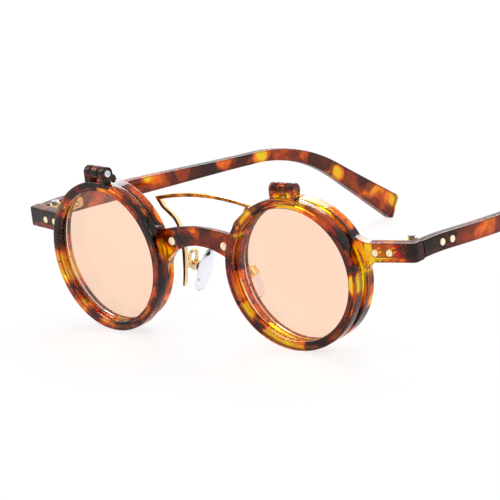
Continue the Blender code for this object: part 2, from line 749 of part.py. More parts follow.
def wire_outline():
    """Both edges of the wire, from one leg's tip over the arch to the other's."""
    leg = wire_leg()
    tip_height = leg[0].y
    corner = leg[-1]
    arch = []
    for share in (0.85, 0.7, 0.5, 0.25, 0.0):
        arch.append(Vector((corner.x * share, corner.y + WIRE_ARCH_RISE * (1 - share * share))))
    half = leg + arch
    line = half + [Vector((-p.x, p.y)) for p in reversed(half[:-1])]
    rivet_at = Vector((BRIDGE_RIVET_OUT, BRIDGE_RIVET_UP))
    one_edge, other_edge = [], []
    for i, point in enumerate(line):
        before = (point - line[i - 1]).normalized() if i else (line[1] - point).normalized()
        after = (line[i + 1] - point).normalized() if i + 1 < len(line) else before
        across = Vector((-(before + after).y, (before + after).x)).normalized()
        stretch = min(1 / max(across.dot(Vector((-before.y, before.x))), 0.3), 2.0)
        rise = (point.y - tip_height) / (BRIDGE_RIVET_UP - tip_height)
        width = WIRE_TIP_WIDTH + (WIRE_WIDTH - WIRE_TIP_WIDTH) * min(rise * 1.5, 1)
        apart = (Vector((abs(point.x), point.y)) - rivet_at).length / (EYELET_WIDTH / 2)
        if apart < 1:
            width = max(width, EYELET_WIDTH * math.sqrt(1 - apart * apart))
        one_edge.append(tuple(point + across * stretch * width / 2))
        other_edge.append(tuple(point - across * stretch * width / 2))
    return one_edge + other_edge[::-1]


def pad_frame():
    """The pad's own frame at its pivot: X across, Y towards the nose, Z up its length."""
    toward = (PAD_FACING - PAD_DOWN * PAD_FACING.dot(PAD_DOWN)).normalized()
    across = toward.cross(-PAD_DOWN)
    turn = Matrix((across, toward, -PAD_DOWN)).transposed()
    return Matrix.Translation(PAD_PIVOT) @ turn.to_4x4()


def pad_shape(front):
    """The silicone pad: an oval cushion, a little narrower at its top."""
    sections = []
    stations, around = 11, 12
    for step in range(stations + 1):
        along = -math.cos(math.pi * (0.04 + 0.92 * step / stations))
        swell = math.sqrt(1 - along * along)
        width = PAD_WIDTH / 2 * swell * (1 - PAD_TAPER * along)
        depth = PAD_THICKNESS / 2 * swell**0.6
        section = []
        for turn in range(around):
            angle = 2 * math.pi * turn / around
            bulge = math.sin(angle) * (1 if math.sin(angle) > 0 else 0.9)
            section.append((width * math.cos(angle), front + PAD_THICKNESS / 2 + depth * bulge, along * PAD_LENGTH / 2))
        sections.append(section)
    return lofted(sections)


def pad_insert_shape(plate):
    """The lug that swings in the box, from its pivot up to the plate, drawn in the pad's frame."""
    eye = arc((0, 0), PAD_LUG_RADIUS, 180, 360, 8)
    outline = [*eye, (PAD_LUG_RADIUS, plate + 0.2 * MM), (-PAD_LUG_RADIUS, plate + 0.2 * MM)]
    return prism([(b, a) for a, b in outline], -PAD_LUG_THICKNESS / 2, PAD_LUG_THICKNESS / 2, "X")


def pad_arm_route(frame):
    """From the wire's leg up and over in a tight loop, then straight down into the top of the box."""
    start = Vector((leg_out(PAD_ARM_HEIGHT), wire_front() + WIRE_DEPTH + 1.1 * GAP, PAD_ARM_HEIGHT))
    box_middle = (PAD_BOX_RISE - PAD_BOX_BASE) / 2
    box_top = PAD_BOX_LENGTH / 2 + GAP
    return [
        start,
        start + Vector((0.0, 0.6, 0.1)) * MM,
        start + Vector((0.0, 1.3, 1.4)) * MM,
        start + Vector((-0.2, 1.8, 3.2)) * MM,
        frame @ Vector((0, box_middle, box_top)) + Vector((-0.8, -1.6, 3.3)) * MM,
        frame @ Vector((0, box_middle, box_top)) + Vector((-1.0, -0.5, 3.0)) * MM,
        frame @ Vector((0, box_middle, box_top + 1.3 * MM)),
        frame @ Vector((0, box_middle, box_top + 0.6 * MM)),
        frame @ Vector((0, box_middle, box_top)),
    ]


def make_pad(parts, name, side, finishes):
    frame = pad_frame()
    across = frame @ facing((0, 0, 0), (1, 0, 0))
    pivot_side = Vector((side * PAD_PIVOT.x, PAD_PIVOT.y, PAD_PIVOT.z))
    carrier = parts.empty(f"pad_axis_{name}", Matrix.Translation(pivot_side), parts.root)
    plate = PAD_BOX_RISE + PAD_LUG_CLEARANCE
    pad = moved(pad_shape(plate + PAD_PLATE_THICKNESS + GAP), frame)
    parts.add(f"nose_pad_{name}", pad, finishes["silicone"], side, carrier)

    bore_radius = PAD_SCREW_RADIUS + PAD_SCREW_CLEARANCE
    insert = parts.add(f"pad_insert_{name}", moved(pad_insert_shape(plate), frame), finishes["steel"], side, carrier)
    flat = rounded_rectangle(PAD_PLATE_WIDTH, PAD_PLATE_LENGTH, 0.5 * MM)
    flat = moved(prism(flat, plate, plate + PAD_PLATE_THICKNESS, "Y"), frame)
    parts.combine(insert, [("plate", flat)], "UNION", side)
    parts.combine(insert, [("bore", moved(rod(bore_radius, -2 * MM, 2 * MM, 10), across))], "DIFFERENCE", side)

    block = rounded_rectangle(PAD_BOX_WIDTH, PAD_BOX_LENGTH, PAD_BOX_CORNER)
    block = moved(prism(block, -PAD_BOX_BASE, PAD_BOX_RISE, "Y"), frame)
    box = parts.add(f"pad_box_{name}", block, finishes["gold"], side)
    slot_floor = -PAD_LUG_RADIUS - GAP
    half_slot = PAD_BOX_WIDTH / 2 - PAD_BOX_WALL
    slot = [(-half_slot, slot_floor), (half_slot, slot_floor), (half_slot, 2 * MM), (-half_slot, 2 * MM)]
    slot_length = PAD_BOX_LENGTH / 2 - PAD_BOX_CORNER
    cuts = [("slot", moved(prism(slot, -slot_length, slot_length), frame))]
    cuts.append(("bore", moved(rod(bore_radius + 0.05 * MM, -3 * MM, 3 * MM, 10), across)))
    parts.combine(box, cuts, "DIFFERENCE", side)

    reach = PAD_BOX_WIDTH / 2
    under_head = -reach - GAP
    head = under_head - PAD_SCREW_HEAD_DEPTH
    screw = [
        (0, head),
        (PAD_SCREW_HEAD_RADIUS, head + 0.1 * MM),
        (PAD_SCREW_HEAD_RADIUS, under_head),
        (PAD_SCREW_RADIUS, under_head),
        (PAD_SCREW_RADIUS, reach),
        (0, reach),
    ]
    parts.add(f"pad_screw_{name}", moved(turned(screw, ROUND_SEGMENTS), across), finishes["gold"], side)
    arm = swept(smooth_path(pad_arm_route(frame), 2), PAD_ARM_RADIUS)
    parts.add(f"pad_arm_{name}", arm, finishes["gold"], side)


def make_wire(parts, finishes):
    low = wire_front()
    wire = parts.add("nose_bridge_wire", prism(wire_outline(), low, low + WIRE_DEPTH, "Y"), finishes["gold"])
    for name, side in SIDES.items():
        at = Matrix.Translation((BRIDGE_RIVET_OUT, 0, BRIDGE_RIVET_UP))
        hole = moved(rod(RIVET_SHANK_RADIUS + GAP, low - MM, low + 3 * MM), at)
        parts.combine(wire, [(f"rivet_hole_{name}", hole)], "DIFFERENCE", side)


# ---------------------------------------------------------------- temples and their hinges


def temple_stations():
    """Stations along the temple: (distance, centre, slope, inset), drawn on the +X side."""
    step_length = 0.25 * MM
    bend = [TEMPLE_BEND_START + TEMPLE_BEND_LENGTH * i / 7 for i in range(8)]
    shaft = [at * MM for at in (0, 4, 8, 12, 20, 28, 40, 60)]
    corner_start = TEMPLE_LENGTH - TEMPLE_TIP_RADIUS
    tip_start = (bend[-1] + corner_start) / 2
    tip = [corner_start + TEMPLE_TIP_RADIUS * math.sin(math.radians(a)) for a in (0, 30, 52, 70, 90)]
    stations = []
    y, z = END_BACK + GAP, END_MIDDLE
    at = 0.0
    for wanted in (*shaft, *bend, tip_start, *tip):
        steps = max(round((wanted - at) / step_length), 1)
        ahead = (wanted - at) / steps
        for _ in range(steps):
            slope = temple_slope(at + ahead / 2)
            y += ahead * math.cos(slope)
            z -= ahead * math.sin(slope)
            at += ahead
        toe = max(at - TEMPLE_STRAIGHT, 0)
        inward = math.tan(TEMPLE_TOE_IN) * toe * toe / (toe + TEMPLE_EASE)
        stations.append((at, Vector((0, y, z)), temple_slope(at), inward))
    return stations


def temple_slope(at):
    """How steeply the temple falls at a distance from its joint: straight, an even bend, straight."""
    settled = min(at / TEMPLE_EASE, 1)
    turned_down = min(max((at - TEMPLE_BEND_START) / TEMPLE_BEND_LENGTH, 0), 1)
    return TEMPLE_PITCH * settled + TEMPLE_BEND * turned_down


def temple_shape():
    sections = []
    for at, centre, slope, inward in temple_stations():
        share = at / TEMPLE_LENGTH
        height = blended(TEMPLE_HEIGHTS, TEMPLE_HEIGHTS_AT, share)
        thickness = TEMPLE_THICKNESS + (TEMPLE_TIP_THICKNESS - TEMPLE_THICKNESS) * share
        from_corner = max(at - (TEMPLE_LENGTH - TEMPLE_TIP_RADIUS), 0)
        height -= 2 * (TEMPLE_TIP_RADIUS - math.sqrt(max(TEMPLE_TIP_RADIUS**2 - from_corner**2, 0)))
        tilt = slope + TEMPLE_TIP_SKEW * max(share - 0.9, 0) / 0.1
        up = Vector((0, math.sin(tilt), math.cos(tilt)))
        middle = Vector((END_OUT - thickness / 2 - inward, centre.y, centre.z))
        edge = min(TEMPLE_EDGE, height / 2.2)
        outline = rounded_rectangle(thickness, height, edge)
        sections.append([middle + Vector((1, 0, 0)) * out + up * rise for out, rise in outline])
    return lofted(sections)


def barrel(low, high):
    """A hinge barrel on the pin's axis."""
    return moved(rod(BARREL_RADIUS, low, high, BARREL_SEGMENTS), facing((PIN.x, PIN.y, 0), (0, 0, 1)))


def pin_bore():
    return moved(rod(PIN_RADIUS + GAP, -10 * MM, 30 * MM), facing((PIN.x, PIN.y, 0), (0, 0, 1)))


def make_temple(parts, name, side, finishes):
    carrier = parts.axis(f"temple_axis_{name}", side, PIN)
    shape = temple_shape()
    parts.hanging += [Vector(v.co) for v in shape.verts]
    temple = parts.add(f"temple_{name}", shape, finishes["tortoise"], side, carrier)

    middle_low = END_MIDDLE - BARREL_LENGTH / 2
    middle_high = END_MIDDLE + BARREL_LENGTH / 2
    leaf_face = TEMPLE_INSIDE - GAP
    first = PIN.y + PIN_INSET + 0.2 * MM
    half, last = LEAF_HEIGHT / 2, first + LEAF_LENGTH
    near, far = LEAF_CORNER / 4, LEAF_CORNER
    slab = rounded([(first, -half, near), (last, -half, far), (last, half, far), (first, half, near)])
    slab = [(y, z + END_MIDDLE - LEAF_DROP) for y, z in slab]
    leaf_shape = prism(slab, leaf_face - LEAF_THICKNESS, leaf_face, "X")
    leaf = parts.add(f"hinge_leaf_temple_{name}", leaf_shape, finishes["brass"], side, carrier)
    web = [
        (leaf_face - PIN_INSET * 0.8, PIN.y),
        (leaf_face - SHY, PIN.y),
        (leaf_face - SHY, first + 0.6 * MM),
        (leaf_face - LEAF_THICKNESS + SHY, first + 0.6 * MM),
    ]
    web_shape = prism(web, middle_low + SHY, middle_high - SHY)
    joined = [("web", web_shape), ("barrel", barrel(middle_low, middle_high))]
    parts.combine(leaf, joined, "UNION", side)
    parts.combine(leaf, [("pin_bore", pin_bore())], "DIFFERENCE", side)

    stations = temple_stations()
    for label, along in zip(("front", "rear"), TEMPLE_RIVETS_ALONG):
        y = END_BACK + GAP + along
        z = blended([s[1].z for s in stations[:5]], [s[1].y for s in stations[:5]], y)
        frame = facing((END_OUT, y, z), (-1, 0, 0))
        depth = TEMPLE_THICKNESS + GAP + LEAF_THICKNESS
        hole = rivet_hole(TEMPLE_RIVET_HEAD_RADIUS, depth)
        parts.combine(temple, [(f"{label}_rivet_hole", moved(hole, frame))], "DIFFERENCE", side)
        through = rod(RIVET_SHANK_RADIUS + GAP, 0, depth + MM)
        parts.combine(leaf, [(f"{label}_rivet_hole", moved(through, frame))], "DIFFERENCE", side)
        shape = moved(rivet(TEMPLE_RIVET_HEAD_RADIUS, depth), frame)
        parts.add(f"temple_rivet_{label}_{name}", shape, finishes["gold"], side, carrier)


def make_front_leaf(parts, name, side, finishes):
    """The hinge leaf riveted behind the end piece, with the top and bottom barrels."""
    start, end = END_RIVETS_ALONG[0] - LEAF_MARGIN, END_RIVETS_ALONG[1] + LEAF_MARGIN
    low = END_DEPTH + GAP
    half = FRONT_LEAF_HEIGHT / 2
    plate = rounded([(start, -half, LEAF_CORNER), (end, -half, 0), (end, half, 0), (start, half, LEAF_CORNER)])
    plate = [(x, z + END_MIDDLE) for x, z in plate]
    leaf_shape = moved(prism(plate, low, low + LEAF_THICKNESS, "Y"), END_ROOT)
    leaf = parts.add(f"hinge_leaf_front_{name}", leaf_shape, finishes["brass"], side)

    inwards = END_ROOT.inverted() @ PIN
    web = [
        (end - 1.4 * MM, low + SHY),
        (end + 1.3 * MM, low + SHY),
        (inwards.x + 1.0 * MM, inwards.y - 0.9 * MM),
        (inwards.x, inwards.y),
        (inwards.x - 1.4 * MM, inwards.y - 0.4 * MM),
        (end - 1.4 * MM, low + LEAF_THICKNESS - SHY),
    ]
    inner = BARREL_LENGTH / 2 + BARREL_GAP
    outer = inner + BARREL_LENGTH
    for label, bottom, top in (("lower", -outer, -inner), ("upper", inner, outer)):
        bottom, top = END_MIDDLE + bottom, END_MIDDLE + top
        web_shape = moved(prism(web, bottom + SHY, top - SHY), END_ROOT)
        joined = [(f"{label}_web", web_shape), (f"{label}_barrel", barrel(bottom, top))]
        parts.combine(leaf, joined, "UNION", side)
    parts.combine(leaf, [("pin_bore", pin_bore())], "DIFFERENCE", side)
    for label, frame, _, depth in rivet_places()[1:]:
        hole = moved(rod(RIVET_SHANK_RADIUS + GAP, 0, depth + MM), frame)
        parts.combine(leaf, [(f"{label}_hole", hole)], "DIFFERENCE", side)

    bottom, top = END_MIDDLE - outer, END_MIDDLE + outer
    pin = [
        (0, bottom),
        (PIN_RADIUS, bottom),
        (PIN_RADIUS, top + GAP),
        (PIN_HEAD_RADIUS, top + GAP),
        (PIN_HEAD_RADIUS, top + GAP + PIN_HEAD_DEPTH * 0.7),
        (PIN_HEAD_RADIUS * 0.7, top + GAP + PIN_HEAD_DEPTH),
        (0, top + GAP + PIN_HEAD_DEPTH),
    ]
    frame = facing((PIN.x, PIN.y, 0), (0, 0, 1))
    parts.add(f"hinge_screw_{name}", moved(turned(pin, ROUND_SEGMENTS), frame), finishes["steel"], side)


# ---------------------------------------------------------------- all of it


def main():
    parts = Assembly()
    finishes = {
        "tortoise": finish("tortoise_acetate", (0.30, 0.08, 0.025), 0.12),
        "tinted": finish("peach_tinted_lens", (1.0, 0.78, 0.62), 0.03, transmission=0.9),
        "clear": finish("clear_lens", (0.97, 0.98, 0.98), 0.03, transmission=0.95),
        "gold": finish("pale_gold_metal", (0.86, 0.66, 0.32), 0.22, metallic=1.0),
        "brass": finish("hinge_brass", (0.78, 0.60, 0.32), 0.3, metallic=1.0),
        "steel": finish("bright_steel", (0.78, 0.78, 0.80), 0.2, metallic=1.0),
        "silicone": finish("clear_silicone", (0.94, 0.94, 0.97), 0.15, transmission=0.85),
    }
    make_front(parts, finishes)
    make_wire(parts, finishes)
    for name, side in SIDES.items():
        make_flip(parts, name, side, finishes)
        make_pad(parts, name, side, finishes)
        make_front_leaf(parts, name, side, finishes)
        make_temple(parts, name, side, finishes)
    parts.stand()


main()
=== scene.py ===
"""Looks of round flip-up sunglasses in polished tortoiseshell acetate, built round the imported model.

Everything is drawn in "front space", in metres: X towards the wearer's left, Y back towards the ears
and Z up, with the origin midway between the eyes on the flip rings' front plane. Each piece is drawn
for the wearer's left and mirrored for the right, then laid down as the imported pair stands.
"""

import json
import logging
import math
from dataclasses import dataclass
from enum import Enum
from typing import Callable, Iterable, Sequence

import bmesh
import bpy
from mathutils import Matrix, Vector


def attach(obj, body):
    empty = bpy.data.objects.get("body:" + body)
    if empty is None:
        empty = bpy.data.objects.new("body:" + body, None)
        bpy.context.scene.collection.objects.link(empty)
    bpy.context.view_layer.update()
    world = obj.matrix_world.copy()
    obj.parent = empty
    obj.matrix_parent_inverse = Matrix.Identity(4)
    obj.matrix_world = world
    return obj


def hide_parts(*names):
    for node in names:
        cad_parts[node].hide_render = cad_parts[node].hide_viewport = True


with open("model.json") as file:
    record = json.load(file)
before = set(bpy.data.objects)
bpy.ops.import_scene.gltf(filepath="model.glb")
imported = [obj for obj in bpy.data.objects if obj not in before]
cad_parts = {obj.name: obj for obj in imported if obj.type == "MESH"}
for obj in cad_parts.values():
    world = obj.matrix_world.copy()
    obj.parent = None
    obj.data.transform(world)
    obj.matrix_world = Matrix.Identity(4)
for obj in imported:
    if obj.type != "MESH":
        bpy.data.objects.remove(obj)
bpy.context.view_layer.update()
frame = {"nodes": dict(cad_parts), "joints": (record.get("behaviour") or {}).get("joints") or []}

MM = 0.001
log = logging.getLogger("sunglasses")

Point2 = tuple[float, float]
Corner = tuple[float, float, float]
Colour = tuple[float, float, float]
Shape = bmesh.types.BMesh
Object = bpy.types.Object
Material = bpy.types.Material
Tree = bpy.types.NodeTree
Node = bpy.types.Node
Socket = bpy.types.NodeSocket


class Side(Enum):
    """The wearer's two sides, as the sign of X."""

    LEFT = 1
    RIGHT = -1

    @property
    def label(self) -> str:
        """The side's word in piece and body names."""
        return self.name.lower()


class Join(Enum):
    """How a tool shape changes the piece that it is used on."""

    ADD = "UNION"
    CUT = "DIFFERENCE"


# ------------------------------------------------------------------ drawing


def arc(centre: Point2, radius: float, start: float, end: float, steps: int) -> list[Point2]:
    """Points on an arc.

    Args:
        centre: The arc's centre.
        radius: Its radius.
        start: Start angle in degrees.
        end: End angle in degrees.
        steps: How many chords it is split into.

    Returns:
        The points, both ends included.
    """
    points = []
    for step in range(steps + 1):
        angle = math.radians(start + (end - start) * step / steps)
        points.append((centre[0] + radius * math.cos(angle), centre[1] + radius * math.sin(angle)))
    return points


def rounded(corners: Sequence[Corner], steps: int = 5) -> list[Point2]:
    """An outline whose corners are replaced by tangent arcs.

    Args:
        corners: (x, y, radius) of each corner, in order.
        steps: Chords for each arc.

    Returns:
        The outline's points.
    """
    outline: list[Point2] = []
    for i, (x, y, radius) in enumerate(corners):
        if radius == 0:
            outline.append((x, y))
            continue
        here = Vector((x, y))
        before = (Vector(corners[i - 1][:2]) - here).normalized()
        after = (Vector(corners[(i + 1) % len(corners)][:2]) - here).normalized()
        half = before.angle(after) / 2
        centre = here + (before + after).normalized() * radius / math.sin(half)
        first = here + before * radius / math.tan(half) - centre
        last = here + after * radius / math.tan(half) - centre
        turn = first.angle_signed(last)
        for step in range(steps + 1):
            spoke = first.copy()
            spoke.rotate(Matrix.Rotation(-turn * step / steps, 2))
            outline.append(tuple(centre + spoke))
    return outline


def rounded_rectangle(width: float, height: float, radius: float, steps: int = 5) -> list[Point2]:
    """A rectangle about the origin with round corners."""
    corners = [(sx * width / 2, sy * height / 2, radius) for sx, sy in ((1, -1), (1, 1), (-1, 1), (-1, -1))]
    return rounded(corners, steps)


def smooth_path(points: Iterable[Sequence[float]], steps: int = 8) -> list[Vector]:
    """A Catmull-Rom curve through the points.

    Args:
        points: The points to pass through, in 2-D or 3-D.
        steps: Chords between two points.

    Returns:
        The curve's points.
    """
    knots = [Vector(p) for p in points]
    padded = [2 * knots[0] - knots[1], *knots, 2 * knots[-1] - knots[-2]]
    path = []
    for a, b, c, d in zip(padded, padded[1:], padded[2:], padded[3:]):
        for step in range(steps):
            t = step / steps
            bend = (2 * a - 5 * b + 4 * c - d) * t**2 + (3 * b - a - 3 * c + d) * t**3
            path.append(0.5 * (2 * b + (c - a) * t + bend))
    return [*path, knots[-1]]


def blended(values: Sequence[float], places: Sequence[float], at: float) -> float:
    """A smooth run through values that sit at ascending places.

    Args:
        values: The values.
        places: Where each value sits.
        at: Where to read the run.

    Returns:
        The value there.
    """
    for i in range(len(places) - 1):
        if at <= places[i + 1]:
            run = places[i + 1] - places[i]
            share = (at - places[i]) / run
            slopes = []
            for k in (i, i + 1):
                low, high = max(k - 1, 0), min(k + 1, len(places) - 1)
                slopes.append((values[high] - values[low]) / (places[high] - places[low]))
            rise = share * share * (3 - 2 * share)
            lead = share * (1 - share) ** 2 * slopes[0] - share * share * (1 - share) * slopes[1]
            return values[i] + (values[i + 1] - values[i]) * rise + lead * run
    return values[-1]


def turned(profile: Sequence[Point2], segments: int) -> Shape:
    """A closed profile turned about the Y axis.

    Args:
        profile: (radius, depth) points. A radius of 0 lies on the axis.
        segments: Steps round the axis.

    Returns:
        The closed shape.
    """
    shape = bmesh.new()
    on_axis = {i: shape.verts.new((0, depth, 0)) for i, (radius, depth) in enumerate(profile) if radius == 0}
    rings = []
    for step in range(segments):
        angle = 2 * math.pi * step / segments
        ring = []
        for i, (radius, depth) in enumerate(profile):
            at = (radius * math.cos(angle), depth, radius * math.sin(angle))
            ring.append(on_axis[i] if i in on_axis else shape.verts.new(at))
        rings.append(ring)
    count = len(profile)
    for step in range(segments):
        here, there = rings[step], rings[(step + 1) % segments]
        for i in range(count):
            corners = list(dict.fromkeys((here[i], here[(i + 1) % count], there[(i + 1) % count], there[i])))
            if len(corners) > 2:
                shape.faces.new(corners)
    bmesh.ops.recalc_face_normals(shape, faces=shape.faces)
    return shape


def lofted(sections: Sequence[Sequence[Sequence[float]]]) -> Shape:
    """A solid through closed sections of equal count, capped at both ends.

    Args:
        sections: The sections' points, in order.

    Returns:
        The closed shape.
    """
    shape = bmesh.new()
    rows = [[shape.verts.new(point) for point in section] for section in sections]
    count = len(rows[0])
    for here, there in zip(rows, rows[1:]):
        for i in range(count):
            shape.faces.new((here[i], here[(i + 1) % count], there[(i + 1) % count], there[i]))
    shape.faces.new(rows[0])
    shape.faces.new(rows[-1])
    bmesh.ops.recalc_face_normals(shape, faces=shape.faces)
    return shape


def prism(outline: Sequence[Point2], low: float, high: float, axis: str = "Z") -> Shape:
    """An outline pushed along an axis.

    Args:
        outline: The outline. Along Y it is drawn in (X, Z), along X in (Y, Z).
        low: Where it starts on the axis.
        high: Where it ends.
        axis: X, Y or Z.

    Returns:
        The closed shape.
    """
    place: dict[str, Callable[[float, float, float], tuple[float, float, float]]] = {
        "X": lambda a, b, h: (h, a, b),
        "Y": lambda a, b, h: (a, h, b),
        "Z": lambda a, b, h: (a, b, h),
    }
    return lofted([[place[axis](a, b, height) for a, b in outline] for height in (low, high)])


def rod(radius: float, low: float, high: float, segments: int = 48) -> Shape:
    """A plain cylinder along Y."""
    return turned([(0, low), (radius, low), (radius, high), (0, high)], segments)


def swept(path: Sequence[Vector], radius: float, segments: int = 20) -> Shape:
    """A round wire along a 3-D path, with rounded ends.

    Args:
        path: The centreline.
        radius: The wire's radius.
        segments: Steps round it.

    Returns:
        The closed shape.
    """
    sections = []
    across = Vector((1, 0, 0))
    last = len(path) - 1
    for i, point in enumerate(path):
        ahead = (path[min(i + 1, last)] - path[max(i - 1, 0)]).normalized()
        across = (across - ahead * across.dot(ahead)).normalized()
        other = ahead.cross(across)
        turns = [2 * math.pi * step / segments for step in range(segments)]
        sections.append([point + radius * (math.cos(a) * across + math.sin(a) * other) for a in turns])
    return lofted(sections)


def facing(origin: Sequence[float], direction: Sequence[float]) -> Matrix:
    """A frame at origin whose Y axis runs along direction."""
    turn = Vector((0, 1, 0)).rotation_difference(Vector(direction))
    return Matrix.Translation(origin) @ turn.to_matrix().to_4x4()


def moved(shape: Shape, matrix: Matrix) -> Shape:
    """The same shape, moved by a matrix."""
    bmesh.ops.transform(shape, matrix=matrix, verts=shape.verts)
    return shape


def capsule_cross(reach: float, width: float, depth: float) -> list[Shape]:
    """Two crossed bars that cut a cross recess, sunk by depth from the XZ plane.

    Args:
        reach: Half a bar's length.
        width: A bar's width.
        depth: How deep they cut.

    Returns:
        The bars, along Y.
    """
    bars = []
    for turn in (0.0, math.pi / 2):
        bar = prism(rounded_rectangle(2 * reach, width, width * 0.3), -1 * MM, depth, "Y")
        bars.append(moved(bar, Matrix.Rotation(turn, 4, "Y")))
    return bars


# ------------------------------------------------------------------ the pair's layout


@dataclass(frozen=True)
class Layout:
    """Driving sizes that several pieces share, and the frames that follow from them."""

    nose_gap: float = 28.4 * MM
    eye_wrap: float = math.radians(5.5)
    flip_sight: float = 18.8 * MM
    flip_radius: float = 21.4 * MM
    flip_depth: float = 3.3 * MM
    rim_gap: float = 0.6 * MM
    rim_outset: float = 1.4 * MM
    rim_sight: float = 19.0 * MM
    rim_radius: float = 20.7 * MM
    rim_depth: float = 4.1 * MM
    hinge_outset: float = 0.5 * MM
    hinge_depth: float = 2.05 * MM
    hinge_up: float = 2.25 * MM
    end_bend: float = math.radians(8.5)
    end_root_inset: float = 2.6 * MM
    end_depth: float = 3.7 * MM
    end_reach: float = 14.4 * MM
    end_back: float = 14.0 * MM
    end_middle: float = 6.1 * MM
    end_height: float = 5.5 * MM
    temple_thickness: float = 3.3 * MM
    pin_inset: float = 1.9 * MM
    pin_back: float = 1.5 * MM
    gap: float = 0.3 * MM

    @property
    def rim_edge(self) -> float:
        """How far out the rims' nose edges lie."""
        return self.nose_gap / 2

    @property
    def rim_front(self) -> float:
        """How far behind the flip rings' plane the rims start."""
        return self.flip_depth + self.rim_gap

    @property
    def eye_out(self) -> float:
        """How far out the flip rings' centres lie."""
        return self.rim_edge + self.rim_radius - self.rim_outset

    @property
    def eye(self) -> Matrix:
        """The flip ring's frame, with Y along its own axis."""
        return Matrix.Translation((self.eye_out, 0, 0)) @ Matrix.Rotation(self.eye_wrap, 4, "Z")

    @property
    def rim(self) -> Matrix:
        """The rim's frame."""
        return self.eye @ Matrix.Translation((self.rim_outset, 0, 0))

    @property
    def flip_axis(self) -> Matrix:
        """The flip hinge's frame, with X along its axis."""
        up = self.flip_radius + self.hinge_up
        return self.eye @ Matrix.Translation((self.hinge_outset, self.hinge_depth, up))

    @property
    def flip_screw(self) -> Matrix:
        """The same frame turned, with Y along the screw from its head."""
        return self.flip_axis @ Matrix.Rotation(-math.pi / 2, 4, "Z")

    @property
    def end_root(self) -> Matrix:
        """Where the end piece turns back from the eye's plane.

        Returns:
            The end piece's frame.
        """
        out = self.rim_outset + self.rim_radius - self.end_root_inset
        corner = self.eye @ Matrix.Translation((out, self.rim_front, 0))
        return corner @ Matrix.Rotation(self.end_bend, 4, "Z")

    @property
    def end_out(self) -> float:
        """Half the width over the temples."""
        return self.eye_out + self.rim_outset + self.rim_radius + self.end_reach

    @property
    def temple_inside(self) -> float:
        """How far out the temple's inner face lies at the joint."""
        return self.end_out - self.temple_thickness

    @property
    def pin(self) -> Vector:
        """The temple pin's middle."""
        return Vector((self.temple_inside - self.pin_inset, self.end_back + self.pin_back, self.end_middle))

    def standing(self) -> Matrix:
        """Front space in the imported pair's frame, read from the temple hinge.

        Returns:
            The matrix that leans the pair and sets it on the floor.
        """
        joint = next(j for j in frame["joints"] if j["name"] == "temple_hinge_left")
        lean = math.atan2(-joint["axis"][1], joint["axis"][2])
        turn = Matrix.Rotation(lean, 4, "X")
        return Matrix.Translation(Vector(joint["pos_m"]) - turn @ self.pin) @ turn


LAYOUT = Layout()


